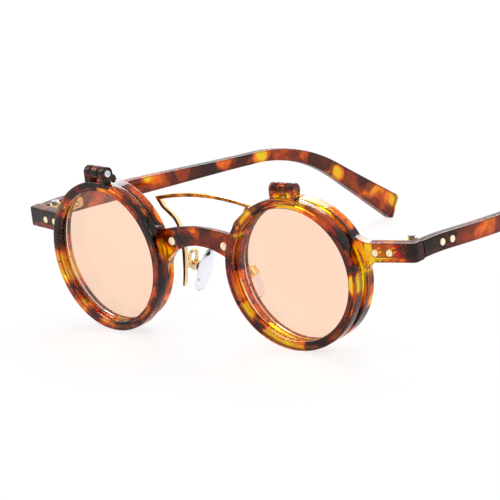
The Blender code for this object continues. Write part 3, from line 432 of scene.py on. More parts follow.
class Bench:
    """Makes front-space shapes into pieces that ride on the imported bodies."""

    def __init__(self) -> None:
        """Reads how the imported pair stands."""
        self.stand = LAYOUT.standing()

    def loose(self, name: str, shape: Shape, side: Side = Side.LEFT) -> Object:
        """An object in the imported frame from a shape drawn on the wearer's left.

        Args:
            name: The object's name.
            shape: The shape, which is used up.
            side: Where it goes.

        Returns:
            The linked object, with its place in its mesh.
        """
        if side is Side.RIGHT:
            moved(shape, Matrix.Scale(-1, 4, (1, 0, 0)))
            bmesh.ops.reverse_faces(shape, faces=shape.faces)
        moved(shape, self.stand)
        mesh = bpy.data.meshes.new(name)
        shape.to_mesh(mesh)
        shape.free()
        obj = bpy.data.objects.new(name, mesh)
        bpy.context.scene.collection.objects.link(obj)
        return obj

    @staticmethod
    def settle(obj: Object) -> None:
        """Applies the object's modifiers to its mesh.

        Args:
            obj: The object.
        """
        bpy.context.view_layer.update()
        graph = bpy.context.evaluated_depsgraph_get()
        done = bpy.data.meshes.new_from_object(obj.evaluated_get(graph))
        obj.modifiers.clear()
        old, obj.data = obj.data, done
        bpy.data.meshes.remove(old)

    @staticmethod
    def soften(obj: Object, width: float, segments: int = 3, angle: float = 40) -> None:
        """Rounds the object's edges that are sharper than an angle in degrees.

        Args:
            obj: The object.
            width: The bevel's width.
            segments: Steps across it.
            angle: The angle.
        """
        bevel = obj.modifiers.new("soft_edges", "BEVEL")
        bevel.width = width
        bevel.segments = segments
        bevel.limit_method = "ANGLE"
        bevel.angle_limit = math.radians(angle)
        bevel.use_clamp_overlap = True
        Bench.settle(obj)

    def combine(self, target: Object, tools: Sequence[Object], join: Join) -> None:
        """Adds tools to a target or cuts them from it, and removes them.

        Args:
            target: The piece that is changed.
            tools: The shapes to add or cut.
            join: Which of the two.
        """
        for tool in tools:
            boolean = target.modifiers.new(tool.name, "BOOLEAN")
            boolean.operation = join.value
            boolean.object = tool
        self.settle(target)
        for tool in tools:
            bpy.data.objects.remove(tool, do_unlink=True)

    def fuse(self, target: Object, others: Sequence[Object], grain: float, rounds: int) -> None:
        """Runs overlapping shapes into one skin with soft inner corners.

        Args:
            target: The piece that takes the others in.
            others: What joins it; they are removed.
            grain: The skin's mesh size.
            rounds: How often it is smoothed.
        """
        whole = bmesh.new()
        for obj in (target, *others):
            whole.from_mesh(obj.data)
        whole.to_mesh(target.data)
        whole.free()
        for obj in others:
            bpy.data.objects.remove(obj, do_unlink=True)
        remesh = target.modifiers.new("skin", "REMESH")
        remesh.mode = "VOXEL"
        remesh.voxel_size = grain
        smooth = target.modifiers.new("smooth", "SMOOTH")
        smooth.factor = 0.5
        smooth.iterations = rounds
        self.settle(target)

    def dress(
        self,
        obj: Object,
        material: Material,
        body: str,
        slot: str,
        stands_for: Sequence[str] = (),
        sharp: float = 35,
    ) -> Object:
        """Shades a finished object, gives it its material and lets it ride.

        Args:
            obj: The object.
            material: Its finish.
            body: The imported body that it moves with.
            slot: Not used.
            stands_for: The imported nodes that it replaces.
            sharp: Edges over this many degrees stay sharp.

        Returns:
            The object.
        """
        obj.data.materials.clear()
        obj.data.materials.append(material)
        obj.data.shade_smooth()
        obj.data.set_sharp_from_angle(angle=math.radians(sharp))
        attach(obj, body)
        if stands_for:
            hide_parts(*stands_for)
        log.info("%s: %d faces on %s", obj.name, len(obj.data.polygons), body)
        return obj


# ------------------------------------------------------------------ finishes


class Nodes:
    """Short hands for building a node tree."""

    COLOUR_INPUTS = (0, 6, 7)
    COLOUR_OUTPUT = 2

    def __init__(self, tree: Tree) -> None:
        """Works on one tree."""
        self.tree = tree

    def link(self, source: Socket, target: Socket) -> None:
        """Joins two sockets."""
        self.tree.links.new(source, target)

    def put(self, value: object, target: Socket) -> None:
        """Links a socket to an input, or sets the input to a value.

        Args:
            value: The socket or the value.
            target: The input.
        """
        if isinstance(value, Socket):
            self.link(value, target)
        else:
            target.default_value = value

    def add(self, kind: str, **settings: object) -> Node:
        """A new node.

        Args:
            kind: The node type's name after "ShaderNode".
            **settings: Attributes of the node, or by name what goes into its inputs.

        Returns:
            The node.
        """
        node = self.tree.nodes.new("ShaderNode" + kind)
        for key, value in settings.items():
            if hasattr(node, key):
                setattr(node, key, value)
            else:
                self.put(value, node.inputs[key.replace("_", " ")])
        return node

    def math(self, operation: str, *terms: object) -> Socket:
        """A Math node.

        Args:
            operation: What it works out.
            *terms: Sockets or numbers.

        Returns:
            Its value.
        """
        node = self.add("Math", operation=operation)
        for term, target in zip(terms, node.inputs):
            self.put(term, target)
        return node.outputs[0]

    def plus(self, first: object, second: object) -> Socket:
        """The sum of two sockets or numbers."""
        return self.math("ADD", first, second)

    def times(self, first: object, second: object) -> Socket:
        """Their product."""
        return self.math("MULTIPLY", first, second)

    def most(self, first: object, second: object) -> Socket:
        """The larger of the two."""
        return self.math("MAXIMUM", first, second)

    def spread(self, value: Socket, strength: object) -> Socket:
        """A texture's value about its middle, times a strength."""
        return self.times(self.math("SUBTRACT", value, 0.5), strength)

    def step(self, value: Socket, low: float, high: float) -> Socket:
        """A smooth step from 0 at low to 1 at high."""
        ease = self.add("MapRange", interpolation_type="SMOOTHSTEP", Value=value, From_Min=low, From_Max=high)
        return ease.outputs[0]

    def vector(self, operation: str, *terms: object) -> Node:
        """A Vector Math node.

        Args:
            operation: What it works out.
            *terms: Sockets or vectors.

        Returns:
            The node.
        """
        node = self.add("VectorMath", operation=operation)
        for term, target in zip(terms, node.inputs):
            self.put(term, target)
        return node

    def blend(self, share: Socket, first: Socket, second: object, how: str = "MIX") -> Socket:
        """Two colours mixed.

        Args:
            share: How much of the second shows.
            first: The first colour.
            second: The second colour.
            how: The way they mix.

        Returns:
            The colour.
        """
        node = self.add("Mix", data_type="RGBA", blend_type=how)
        for value, index in zip((share, first, second), self.COLOUR_INPUTS):
            self.put(value, node.inputs[index])
        return node.outputs[self.COLOUR_OUTPUT]

    def ramp(self, value: Socket, stops: Sequence[tuple[float, Colour]]) -> Socket:
        """A colour ramp over a value.

        Args:
            value: What drives it.
            stops: (position, colour) in order.

        Returns:
            The colour.
        """
        node = self.add("ValToRGB", Fac=value)
        band = node.color_ramp
        band.interpolation = "EASE"
        while len(band.elements) < len(stops):
            band.elements.new(0.5)
        for element, (position, colour) in zip(band.elements, stops):
            element.position = position
            element.color = (*colour, 1)
        return node.outputs[0]


def new_group(name: str, inputs: dict[str, float], outputs: dict[str, str]) -> tuple[Nodes, Node, Node]:
    """An empty shader node group.

    Args:
        name: Its name.
        inputs: The default of each number that goes in.
        outputs: The kind, Float or Color, of what comes out.

    Returns:
        Its nodes, its input node and its output node.
    """
    tree = bpy.data.node_groups.new(name, "ShaderNodeTree")
    for label, value in inputs.items():
        made = tree.interface.new_socket(name=label, in_out="INPUT", socket_type="NodeSocketFloat")
        made.default_value = value
    for label, kind in outputs.items():
        tree.interface.new_socket(name=label, in_out="OUTPUT", socket_type="NodeSocket" + kind)
    return Nodes(tree), tree.nodes.new("NodeGroupInput"), tree.nodes.new("NodeGroupOutput")


def polish_group() -> Tree:
    """Handling marks of a polished surface: faint hairlines and smudges.

    Returns:
        A group from Scale, Base and Spread to Roughness and Height.
    """
    smudge_scale, hairline_scale, hairline_share, clean = 160.0, 1500.0, 0.3, 0.35
    numbers = {"Scale": 1.0, "Base": 0.05, "Spread": 0.05}
    nodes, given, out = new_group("polish_marks", numbers, {"Roughness": "Float", "Height": "Float"})
    scale = given.outputs["Scale"]
    place = nodes.add("TexCoord").outputs["Object"]
    smudge = nodes.add(
        "TexNoise", Vector=place, Scale=nodes.times(scale, smudge_scale), Detail=3.0, Roughness=0.6
    )
    stretch = nodes.add("Mapping", Vector=place, Scale=(1.0, 6.0, 1.0), Rotation=(0.4, 0.2, 0.7))
    hairline = nodes.add(
        "TexNoise",
        Vector=stretch.outputs[0],
        Scale=nodes.times(scale, hairline_scale),
        Detail=2.0,
        Roughness=0.7,
    )
    marks = nodes.plus(
        nodes.times(smudge.outputs[0], 1 - hairline_share), nodes.times(hairline.outputs[0], hairline_share)
    )
    lifted = nodes.times(nodes.math("SUBTRACT", marks, clean), given.outputs["Spread"])
    nodes.link(nodes.most(nodes.plus(given.outputs["Base"], lifted), 0.0), out.inputs["Roughness"])
    nodes.link(hairline.outputs[0], out.inputs["Height"])
    return nodes.tree


class Tone(Enum):
    """How light a fleck of the sheet is, as a place on its colour ramp."""

    KNOT = 0.425
    UMBER = 0.475
    RUST = 0.56
    AMBER = 0.615
    HONEY = 0.655
    YELLOW = 0.72


@dataclass(frozen=True)
class Fleck:
    """A ragged ball of one tone in the acetate."""

    at: Vector
    radius: float
    tone: Tone


RingFleck = tuple[float, float, float, Tone]
PlacedFleck = tuple[float, float, float, float, Tone]


@dataclass(frozen=True)
class Flecks:
    """The yellow windows and dark knots that the sheet was cut to show.

    Those of a rim and its flip ring are (angle, depth, radius, tone): the angle in degrees from the
    wearer's left, the depth in millimetres behind the flip ring's front. The others are
    (out, back, up, radius, tone) in millimetres of front space.
    """

    ring_middle: float = 20.2 * MM
    left_ring: tuple[RingFleck, ...] = (
        (30, -1, 3.2, Tone.KNOT),
        (45, 5.5, 4, Tone.HONEY),
        (60, 4.5, 5, Tone.HONEY),
        (75, 2.5, 4.5, Tone.YELLOW),
        (130, 1.5, 4, Tone.YELLOW),
        (155, 1, 4, Tone.YELLOW),
        (165, 4, 4, Tone.HONEY),
        (185, -4.5, 6, Tone.KNOT),
        (195, 4, 6, Tone.AMBER),
        (215, 0.5, 3.2, Tone.YELLOW),
        (245, 0.5, 3.5, Tone.YELLOW),
        (265, 0.5, 3, Tone.YELLOW),
        (290, 0, 4.5, Tone.KNOT),
        (315, -0.5, 5, Tone.KNOT),
        (340, 6.5, 4.5, Tone.AMBER),
        (355, 2.5, 4, Tone.YELLOW),
    )
    right_ring: tuple[RingFleck, ...] = (
        (0, 5, 3.2, Tone.AMBER),
        (10, 4.5, 3.8, Tone.AMBER),
        (40, 3.5, 2.6, Tone.HONEY),
        (55, 6.5, 5, Tone.RUST),
        (85, 0.5, 2.6, Tone.HONEY),
        (115, -0.5, 4, Tone.KNOT),
        (140, 0.5, 2.6, Tone.YELLOW),
        (170, -2, 3.6, Tone.KNOT),
        (195, 1, 5.5, Tone.HONEY),
        (225, 1.5, 4.5, Tone.AMBER),
        (245, -0.5, 3.6, Tone.KNOT),
        (260, 3.5, 4, Tone.HONEY),
        (295, 1, 4.6, Tone.UMBER),
        (350, 2, 4.6, Tone.KNOT),
    )
    bridge: tuple[PlacedFleck, ...] = (
        (-7, 2, 6.5, 2.6, Tone.KNOT),
        (0.5, 2.5, 8, 5.5, Tone.UMBER),
        (-0.5, 1.5, 9.5, 1.5, Tone.RUST),
        (10, 2, 8, 2.5, Tone.RUST),
    )
    knuckles: tuple[PlacedFleck, ...] = (
        (30.5, 2, 25.5, 3.4, Tone.UMBER),
        (-33, 2, 25.5, 2.2, Tone.RUST),
    )
    end_pieces: tuple[PlacedFleck, ...] = (
        (57, 7, 7, 7, Tone.HONEY),
        (61.5, 8.5, 4, 6.5, Tone.AMBER),
        (57, 7.5, 2, 4.2, Tone.YELLOW),
        (71, 12.5, 6, 6.2, Tone.KNOT),
        (70, 17.5, 7, 1.6, Tone.YELLOW),
        (-62, 11, 3, 2, Tone.HONEY),
        (-66, 12, 7, 5, Tone.KNOT),
    )
    temples: tuple[PlacedFleck, ...] = (
        (68.5, 31, 5.5, 4.8, Tone.UMBER),
        (68.5, 44.5, 4.5, 5.6, Tone.RUST),
        (-67, 56.5, 5, 2.9, Tone.YELLOW),
        (-67, 61, 4, 4.2, Tone.RUST),
        (-66.5, 74, 2, 5, Tone.UMBER),
        (-63, 102, -1.5, 3.8, Tone.YELLOW),
        (-62.5, 111, -4, 6.8, Tone.RUST),
        (-61, 121, -9, 5, Tone.UMBER),
        (-60.5, 130.5, -15, 3.3, Tone.YELLOW),
        (-60, 136.5, -19.5, 4.4, Tone.UMBER),
        (-59, 146, -26.5, 5.4, Tone.RUST),
        (-58, 153, -29, 4.7, Tone.YELLOW),
    )

    def places(self, stand: Matrix) -> list[Fleck]:
        """Every fleck in the standing pair's frame.

        Args:
            stand: The matrix from front space.

        Returns:
            The flecks, in metres.
        """
        found = []
        for side, ring in ((Side.LEFT, self.left_ring), (Side.RIGHT, self.right_ring)):
            for angle, depth, radius, tone in ring:
                out = self.ring_middle * math.cos(math.radians(angle))
                up = self.ring_middle * math.sin(math.radians(angle))
                wrap = side.value * out * math.sin(LAYOUT.eye_wrap)
                at = Vector((side.value * LAYOUT.eye_out + out, depth * MM + wrap, up))
                found.append(Fleck(stand @ at, radius * MM, tone))
        for *at, radius, tone in self.bridge + self.knuckles + self.end_pieces + self.temples:
            found.append(Fleck(stand @ (Vector(at) * MM), radius * MM, tone))
        return found


def mottle_group(flecks: Sequence[Fleck]) -> Tree:
    """Tortoiseshell sheet: dark and amber clouds with sharper yellow windows.

    Args:
        flecks: Its yellow windows and dark knots, in the standing pair's frame.

    Returns:
        A group from Bias, Scale and Contrast to Color.
    """
    cloud_scale, chip_scale, chip_strength, speck_strength = 70.0, 150.0, 0.21, 0.07
    swirl_reach, ragged_reach = 12 * MM, 6 * MM
    edge_outside, edge_inside = 1.1, 0.7
    numbers = {"Bias": 0.0, "Scale": 1.0, "Contrast": 1.0}
    nodes, given, out = new_group("tortoise_mottle", numbers, {"Color": "Color"})
    scale = given.outputs["Scale"]
    place = nodes.add("TexCoord").outputs["Object"]
    drift = nodes.add("TexNoise", Vector=place, Scale=85.0, Detail=2.0, Roughness=0.6)
    centred = nodes.vector("SUBTRACT", drift.outputs["Color"], (0.5, 0.5, 0.5)).outputs["Vector"]
    swirl, ragged = (
        nodes.vector("MULTIPLY_ADD", centred, (reach, reach, reach), place).outputs["Vector"]
        for reach in (swirl_reach, ragged_reach)
    )
    clouds = nodes.add("TexNoise", Vector=swirl, Detail=2.0, Roughness=0.45, Distortion=0.2)
    nodes.link(nodes.times(scale, cloud_scale), clouds.inputs["Scale"])
    chips = nodes.add(
        "TexVoronoi", feature="SMOOTH_F1", Vector=swirl, Scale=nodes.times(scale, chip_scale), Smoothness=0.25
    )
    chip = nodes.add("SeparateColor", Color=chips.outputs["Color"])
    specks = nodes.add("TexNoise", Vector=place, Scale=700.0, Detail=2.0, Roughness=0.7)
    level = nodes.plus(nodes.spread(clouds.outputs[0], given.outputs["Contrast"]), 0.5)
    level = nodes.plus(level, given.outputs["Bias"])
    for fleck in flecks:
        away = nodes.vector("DISTANCE", ragged, fleck.at).outputs["Value"]
        near = nodes.step(away, fleck.radius * edge_outside, fleck.radius * edge_inside)
        level = nodes.add("Mix", Factor=near, A=level, B=fleck.tone.value).outputs[0]
    speckled = nodes.spread(specks.outputs[0], speck_strength)
    grain = nodes.plus(speckled, nodes.spread(chip.outputs[0], chip_strength))
    colour = nodes.ramp(
        nodes.plus(level, grain),
        [
            (0.36, (0.026, 0.006, 0.009)),
            (0.42, (0.055, 0.010, 0.009)),
            (0.47, (0.150, 0.020, 0.007)),
            (0.51, (0.37, 0.050, 0.006)),
            (0.55, (0.88, 0.17, 0.006)),
            (0.59, (1.0, 0.28, 0.004)),
            (0.63, (1.0, 0.47, 0.003)),
            (0.67, (1.0, 0.70, 0.003)),
            (0.72, (1.0, 0.92, 0.006)),
        ],
    )
    nodes.link(colour, out.inputs["Color"])
    return nodes.tree


@dataclass(frozen=True)
class Finish:
    """What every polished finish of the pair shares."""

    name: str
    roughness: float
    spread: float
    ior: float = 1.5
    metallic: float = 0.0
    transmission: float = 0.0
    bump: float = 0.02
    bump_depth: float = 0.02 * MM

    def start(self, marks: Tree) -> tuple[Material, Nodes, Node]:
        """A material with the polish marks wired in.

        Args:
            marks: The polish group.

        Returns:
            The material, its nodes and its surface shader.
        """
        material = bpy.data.materials.new(self.name)
        material.use_nodes = True
        nodes = Nodes(material.node_tree)
        shader = material.node_tree.nodes["Principled BSDF"]
        shader.inputs["IOR"].default_value = self.ior
        shader.inputs["Metallic"].default_value = self.metallic
        shader.inputs["Transmission Weight"].default_value = self.transmission
        wear = nodes.add("Group", node_tree=marks, Base=self.roughness, Spread=self.spread)
        nodes.link(wear.outputs["Roughness"], shader.inputs["Roughness"])
        bump = nodes.add("Bump", Strength=self.bump, Distance=self.bump_depth, Height=wear.outputs["Height"])
        nodes.link(bump.outputs["Normal"], shader.inputs["Normal"])
        return material, nodes, shader

    @staticmethod
    def let_lamps_through(material: Material, nodes: Nodes, shader: Node, colour: Socket) -> None:
        """Lets rays from lamps pass, tinted, so that what lies behind is lit and the shadow is coloured.

        Args:
            material: The see-through material.
            nodes: Its nodes.
            shader: Its surface shader.
            colour: The tint that the passing light takes on.
        """
        clear = nodes.add("BsdfTransparent", Color=colour)
        mix = nodes.add("MixShader", Fac=nodes.add("LightPath").outputs["Is Shadow Ray"])
        nodes.link(shader.outputs[0], mix.inputs[1])
        nodes.link(clear.outputs[0], mix.inputs[2])
        nodes.link(mix.outputs[0], material.node_tree.nodes["Material Output"].inputs["Surface"])


@dataclass(frozen=True)
class Tortoise(Finish):
    """Polished translucent acetate, mottled on its skin and amber through its depth, with painted shade along
    its sharp edges.
    """

    transmission: float = 1.0
    bias: float = 0.0
    cloud_scale: float = 1.0
    contrast: float = 1.0
    body_tint: Colour = (0.94, 0.78, 0.05)
    density: float = 560.0
    # Painted shade along sharp edges: its tint, the Pointiness span it fades in over, and how deep it
    # darkens.
    edge_tint: Colour = (0.04, 0.015, 0.015)
    edge_span: Point2 = (0.512, 0.532)
    edge_depth: float = 0.9
    shadow_gamma: float = 0.6

    def material(self, marks: Tree, mottle: Tree) -> Material:
        """The acetate, with painted shade: its colour is darkened where its surface turns a corner.

        Args:
            marks: The polish group.
            mottle: The tortoiseshell group.

        Returns:
            The material.
        """
        material, nodes, shader = self.start(marks)
        sheet = nodes.add(
            "Group", node_tree=mottle, Bias=self.bias, Scale=self.cloud_scale, Contrast=self.contrast
        ).outputs["Color"]
        # Painted shade: the colour is darkened where Pointiness finds a sharp edge, standing in for the dark
        # lines that refraction leaves along edges.
        corner = nodes.step(nodes.add("NewGeometry").outputs["Pointiness"], *self.edge_span)
        edge = nodes.times(corner, self.edge_depth)
        nodes.link(nodes.blend(edge, sheet, (*self.edge_tint, 1), "MULTIPLY"), shader.inputs["Base Color"])
        shadow = nodes.add("Gamma", Color=sheet, Gamma=self.shadow_gamma)
        self.let_lamps_through(material, nodes, shader, shadow.outputs["Color"])
        depth = nodes.add("VolumeAbsorption", Density=self.density, Color=(*self.body_tint, 1))
        nodes.link(depth.outputs[0], material.node_tree.nodes["Material Output"].inputs["Volume"])
        return material


@dataclass(frozen=True)
class Glass(Finish):
    """A tinted or clear lens, or clear silicone."""

    transmission: float = 1.0
    bump: float = 0.0
    colour: Colour = (1.0, 1.0, 1.0)
    cast: Colour = (1.0, 1.0, 1.0)

    def material(self, marks: Tree) -> Material:
        """The see-through material, with a slow drift between two near tints.

        Args:
            marks: The polish group.

        Returns:
            The material.
        """
        material, nodes, shader = self.start(marks)
        place = nodes.add("TexCoord").outputs["Object"]
        drift = nodes.add("TexNoise", Vector=place, Scale=40.0, Detail=1.0)
        colour = nodes.ramp(drift.outputs[0], [(0.35, self.colour), (0.65, self.cast)])
        nodes.link(colour, shader.inputs["Base Color"])
        self.let_lamps_through(material, nodes, shader, colour)
        return material


@dataclass(frozen=True)
class Metal(Finish):
    """Plated or bare metal, a little duller in patches."""

    metallic: float = 1.0
    colour: Colour = (0.8, 0.8, 0.8)
    dull: Colour = (0.6, 0.6, 0.6)
    # Faces that turn towards this side take a brown tone: the direction, how far they must turn, and the two
    # browns.
    browned_side: Corner | None = None
    browned_span: Point2 = (0.72, 0.9)
    lacquer: Colour = (0.80, 0.26, 0.02)
    dark_lacquer: Colour = (0.16, 0.035, 0.004)

    def material(self, marks: Tree) -> Material:
        """The metal, brown on the faces that turn one way, if it is given such a side.

        Args:
            marks: The polish group.

        Returns:
            The material.
        """
        material, nodes, shader = self.start(marks)
        place = nodes.add("TexCoord")
        patches = nodes.add(
            "TexNoise", Vector=place.outputs["Object"], Scale=350.0, Detail=3.0, Roughness=0.6
        ).outputs[0]
        colour = nodes.ramp(patches, [(0.3, self.dull), (0.6, self.colour)])
        if self.browned_side:
            # Faces whose normal turns along the given side are blended to brown.
            turned_to = nodes.vector("DOT_PRODUCT", place.outputs["Normal"], self.browned_side)
            mask = nodes.step(turned_to.outputs["Value"], *self.browned_span)
            brown = nodes.ramp(patches, [(0.35, self.dark_lacquer), (0.65, self.lacquer)])
            colour = nodes.blend(mask, colour, brown)
        nodes.link(colour, shader.inputs["Base Color"])
        return material


class Finishes:
    """All the pair's materials, made once."""

    def __init__(self, bench: Bench) -> None:
        """Builds the shared groups and each material.

        Args:
            bench: The bench, which knows how the pair stands.
        """
        marks = polish_group()
        mottle = mottle_group(Flecks().places(bench.stand))
        self.acetate = Tortoise(
            "tortoise_acetate", 0.0, 0.03, ior=1.36, bias=-0.008, contrast=1.1, cloud_scale=1.25
        ).material(marks, mottle)
        self.temple = Tortoise(
            "tortoise_temple", 0.0, 0.03, ior=1.34, bias=-0.024, contrast=0.34
        ).material(marks, mottle)
        self.peach = Glass(
            "peach_lens", 0.0, 0.02, ior=1.4, colour=(1.0, 0.70, 0.53), cast=(1.0, 0.72, 0.55)
        ).material(marks)
        self.clear = Glass(
            "clear_lens", 0.0, 0.02, ior=1.4, colour=(0.985, 0.985, 0.985), cast=(1.0, 1.0, 1.0)
        ).material(marks)
        self.silicone = Glass(
            "clear_silicone", 0.04, 0.08, ior=1.29, bump=0.05,
            colour=(0.80, 0.81, 0.90), cast=(0.90, 0.90, 0.96),
        ).material(marks)
        self.gold = Metal(
            "pale_gold", 0.22, 0.12, metallic=0.12, bump=0.04,
            colour=(1.0, 0.90, 0.62), dull=(0.94, 0.76, 0.44),
        ).material(marks)
        self.old_gold = Metal(
            "old_gold", 0.14, 0.12, metallic=0.9, bump=0.04,
            colour=(1.0, 0.80, 0.46), dull=(0.84, 0.58, 0.25),
        ).material(marks)
        self.two_tone = Metal(
            "gold_and_lacquer", 0.14, 0.12, metallic=0.85, bump=0.04,
            colour=(1.0, 0.84, 0.52), dull=(0.92, 0.68, 0.34),
            browned_side=tuple(bench.stand.to_3x3() @ Vector((0, -1, 0))),
        ).material(marks)
        self.brass = Metal(
            "hinge_brass", 0.26, 0.16, bump=0.06, colour=(0.80, 0.62, 0.33), dull=(0.60, 0.45, 0.22)
        ).material(marks)
        self.steel = Metal(
            "screw_steel", 0.16, 0.14, bump=0.05, colour=(0.82, 0.82, 0.84), dull=(0.62, 0.62, 0.64)
        ).material(marks)


@dataclass
class SidePart:
    """What every sub-assembly that comes once for each side shares."""

    bench: Bench
    finishes: Finishes
    side: Side

    def draw(self, name: str, shape: Shape, at: Matrix) -> Object:
        """A shape placed by a matrix, on this side."""
        return self.bench.loose(name, moved(shape, at), self.side)


# ------------------------------------------------------------------ flip rings


@dataclass
class FlipUnit(SidePart):
    """A flip ring with its two hinge ears, its tinted lens and its hinge screw."""

    edge: float = 0.45 * MM
    lip: float = 0.22 * MM
    back_lip: float = 0.2 * MM
    seat_edge: float = 0.08 * MM
    lens_seat: float = 1.0 * MM
    lens_thickness: float = 1.0 * MM
    groove: float = 1.05 * MM
    crown: float = 0.6 * MM
    ear_length: float = 2.4 * MM
    knuckle_length: float = 2.7 * MM
    knuckle_radius: float = 1.9 * MM
    screw_radius: float = 0.6 * MM
    head_radius: float = 1.1 * MM
    head_depth: float = 0.5 * MM
    head_dome: float = 0.12 * MM
    head_side: float = 0.25 * MM
    slot_reach: float = 0.72 * MM
    slot_width: float = 0.3 * MM
    slot_depth: float = 0.4 * MM
    sink: float = 0.8 * MM
    play: float = 0.2 * MM
    mouth: float = 0.55 * MM
    end_wall: float = 0.6 * MM
    ear_root: float = 1.0 * MM
    ear_heel: float = 0.4 * MM
    ear_softness: float = 0.35 * MM
    segments: int = 200

    @property
    def body(self) -> str:
        """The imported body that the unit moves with."""
        return f"flip_{self.side.label}"

    @property
    def ear_end(self) -> float:
        """How far the ears reach along the hinge from its middle."""
        return self.knuckle_length / 2 + LAYOUT.gap + self.ear_length

    def ring_profile(self) -> list[Point2]:
        """The ring's section with its lens groove.

        Returns:
            (radius, depth) points.
        """
        inside, outside = LAYOUT.flip_sight, LAYOUT.flip_radius
        groove_end = self.lens_seat + self.lens_thickness + 2 * LAYOUT.gap
        behind = inside + self.back_lip
        return rounded(
            [
                (inside, 0, self.lip),
                (outside, 0, self.edge),
                (outside, LAYOUT.flip_depth, self.edge),
                (behind, LAYOUT.flip_depth, self.lip),
                (behind, groove_end, 0),
                (inside + self.groove, groove_end, 0),
                (inside + self.groove, self.lens_seat, 0),
                (inside, self.lens_seat, self.seat_edge),
            ]
        )

    def ear_outline(self) -> list[Point2]:
        """One ear from the side, as (depth, height) from the hinge axis.

        Returns:
            The outline's points.
        """
        edge = -LAYOUT.hinge_up
        foot = edge - self.ear_root
        back = LAYOUT.flip_depth - LAYOUT.hinge_depth - LAYOUT.gap
        over = arc((0, 0), self.knuckle_radius, 180, -40, 28)
        return [(-self.knuckle_radius, foot), *over, (back, edge + self.ear_heel), (back, foot)]

    def build_ring(self) -> None:
        """The ring and its ears as one moulding, bored for the screw."""
        name = f"tortoise_flip_ring_{self.side.label}"
        ring = self.draw(name, turned(self.ring_profile(), self.segments), LAYOUT.eye)
        inner, outer = self.ear_end - self.ear_length, self.ear_end
        ears = []
        for low, high in ((-outer, -inner), (inner, outer)):
            ear = self.draw("ear", prism(self.ear_outline(), low, high, "X"), LAYOUT.flip_axis)
            self.bench.soften(ear, self.ear_softness, 4, 25)
            ears.append(ear)
        self.bench.combine(ring, ears, Join.ADD)
        far = outer - self.end_wall
        head, shank = self.head_radius + self.play, self.screw_radius + self.play
        bore = rounded(
            [
                (0, -outer - 1 * MM, 0),
                (self.head_radius + self.mouth, -outer - 1 * MM, 0),
                (self.head_radius + self.mouth, -outer - 0.1 * MM, 0),
                (head, -outer + 0.15 * MM, 0),
                (head, -outer + self.sink, 0),
                (shank, -outer + self.sink, 0),
                (shank, far, 0),
                (0, far, 0),
            ]
        )
        cutter = self.draw("bore", turned(bore, 48), LAYOUT.flip_screw)
        self.bench.combine(ring, [cutter], Join.CUT)
        self.bench.dress(ring, self.finishes.acetate, self.body, "tortoise", [f"flip_ring_{self.side.label}"])

    def build_lens(self) -> None:
        """The crowned tinted lens with a bevelled rim in its groove."""
        radius = LAYOUT.flip_sight + self.groove - LAYOUT.gap
        profile = lens_profile(radius, self.lens_seat + LAYOUT.gap, self.lens_thickness, self.crown)
        lens = self.draw(f"peach_flip_lens_{self.side.label}", turned(profile, self.segments), LAYOUT.eye)
        node = f"flip_lens_{self.side.label}"
        self.bench.dress(lens, self.finishes.peach, self.body, "tinted_lens", [node])

    def build_screw(self) -> None:
        """The hinge screw with its domed head and cross recess."""
        under = -self.ear_end + self.sink - LAYOUT.gap
        top = under - self.head_depth - self.head_dome
        end = self.ear_end - self.end_wall - LAYOUT.gap
        profile = [
            (0, top),
            *arc((0, under), self.head_radius, -84, -32, 8),
            (self.head_radius, under - self.head_side),
            (self.head_radius, under),
            (self.screw_radius, under),
            (self.screw_radius, end),
            (0, end),
        ]
        flat = [(r, max(d, top + 0.1 * r)) for r, d in profile]
        screw = self.draw(f"flip_screw_{self.side.label}", turned(flat, 48), LAYOUT.flip_screw)
        recess = LAYOUT.flip_screw @ Matrix.Translation((0, top, 0))
        cross = capsule_cross(self.slot_reach, self.slot_width, self.slot_depth)
        self.bench.combine(screw, [self.draw("cross", bar, recess) for bar in cross], Join.CUT)
        node = f"flip_hinge_screw_{self.side.label}"
        self.bench.dress(screw, self.finishes.steel, self.body, "steel", [node], 30)

    def build(self) -> None:
        """All of the unit."""
        self.build_ring()
        self.build_lens()
        self.build_screw()


def lens_profile(radius: float, front: float, thickness: float, crown: float) -> list[Point2]:
    """A lens's half section, crowned forward, with a small bevel at its edge.

    Args:
        radius: The lens's radius.
        front: Depth of its front face at the edge.
        thickness: Its thickness.
        crown: How far its middle bulges forward.

    Returns:
        (radius, depth) points from the axis round to the axis.
    """
    steps = 14
    bevel = 0.15 * MM
    faces = []
    for face in (0, 1):
        points = []
        for step in range(steps + 1):
            r = (radius - bevel) * step / steps
            points.append((r, front + face * thickness - crown * (1 - (r / radius) ** 2)))
        faces.append(points)
    return [*faces[0], (radius, front + bevel), (radius, front + thickness - bevel), *faces[1][::-1]]


# ------------------------------------------------------------------ moulded front


@dataclass(frozen=True)
class BridgeCurves:
    """How the bridge's edges and its front face run across the nose."""

    crest: float = 10.85 * MM
    crest_bend: float = 12.5
    sweep_up: float = 6 * MM
    sweep_out: float = 4.2 * MM
    arch: float = 5.2 * MM
    arch_bend: float = 30.0
    leg_down: float = 4.2 * MM
    leg_out: float = 0.4 * MM
    lowest: float = -5.0 * MM
    setback: float = 1.25 * MM
    face_bend: float = 4.5

    def top(self, x: float) -> float:
        """The upper edge, which sweeps up along the rims."""
        sweep = self.sweep_up * (x / (LAYOUT.rim_edge + self.sweep_out)) ** 8
        return self.crest - self.crest_bend * x * x + sweep

    def bottom(self, x: float) -> float:
        """The lower edge, an arch that runs down into the rims."""
        legs = self.leg_down * (x / (LAYOUT.rim_edge + self.leg_out)) ** 10
        return max(self.arch - self.arch_bend * x * x - legs, self.lowest)

    def front(self, x: float) -> float:
        """How far back the front face lies."""
        return self.setback + self.face_bend * x * x


BRIDGE = BridgeCurves()


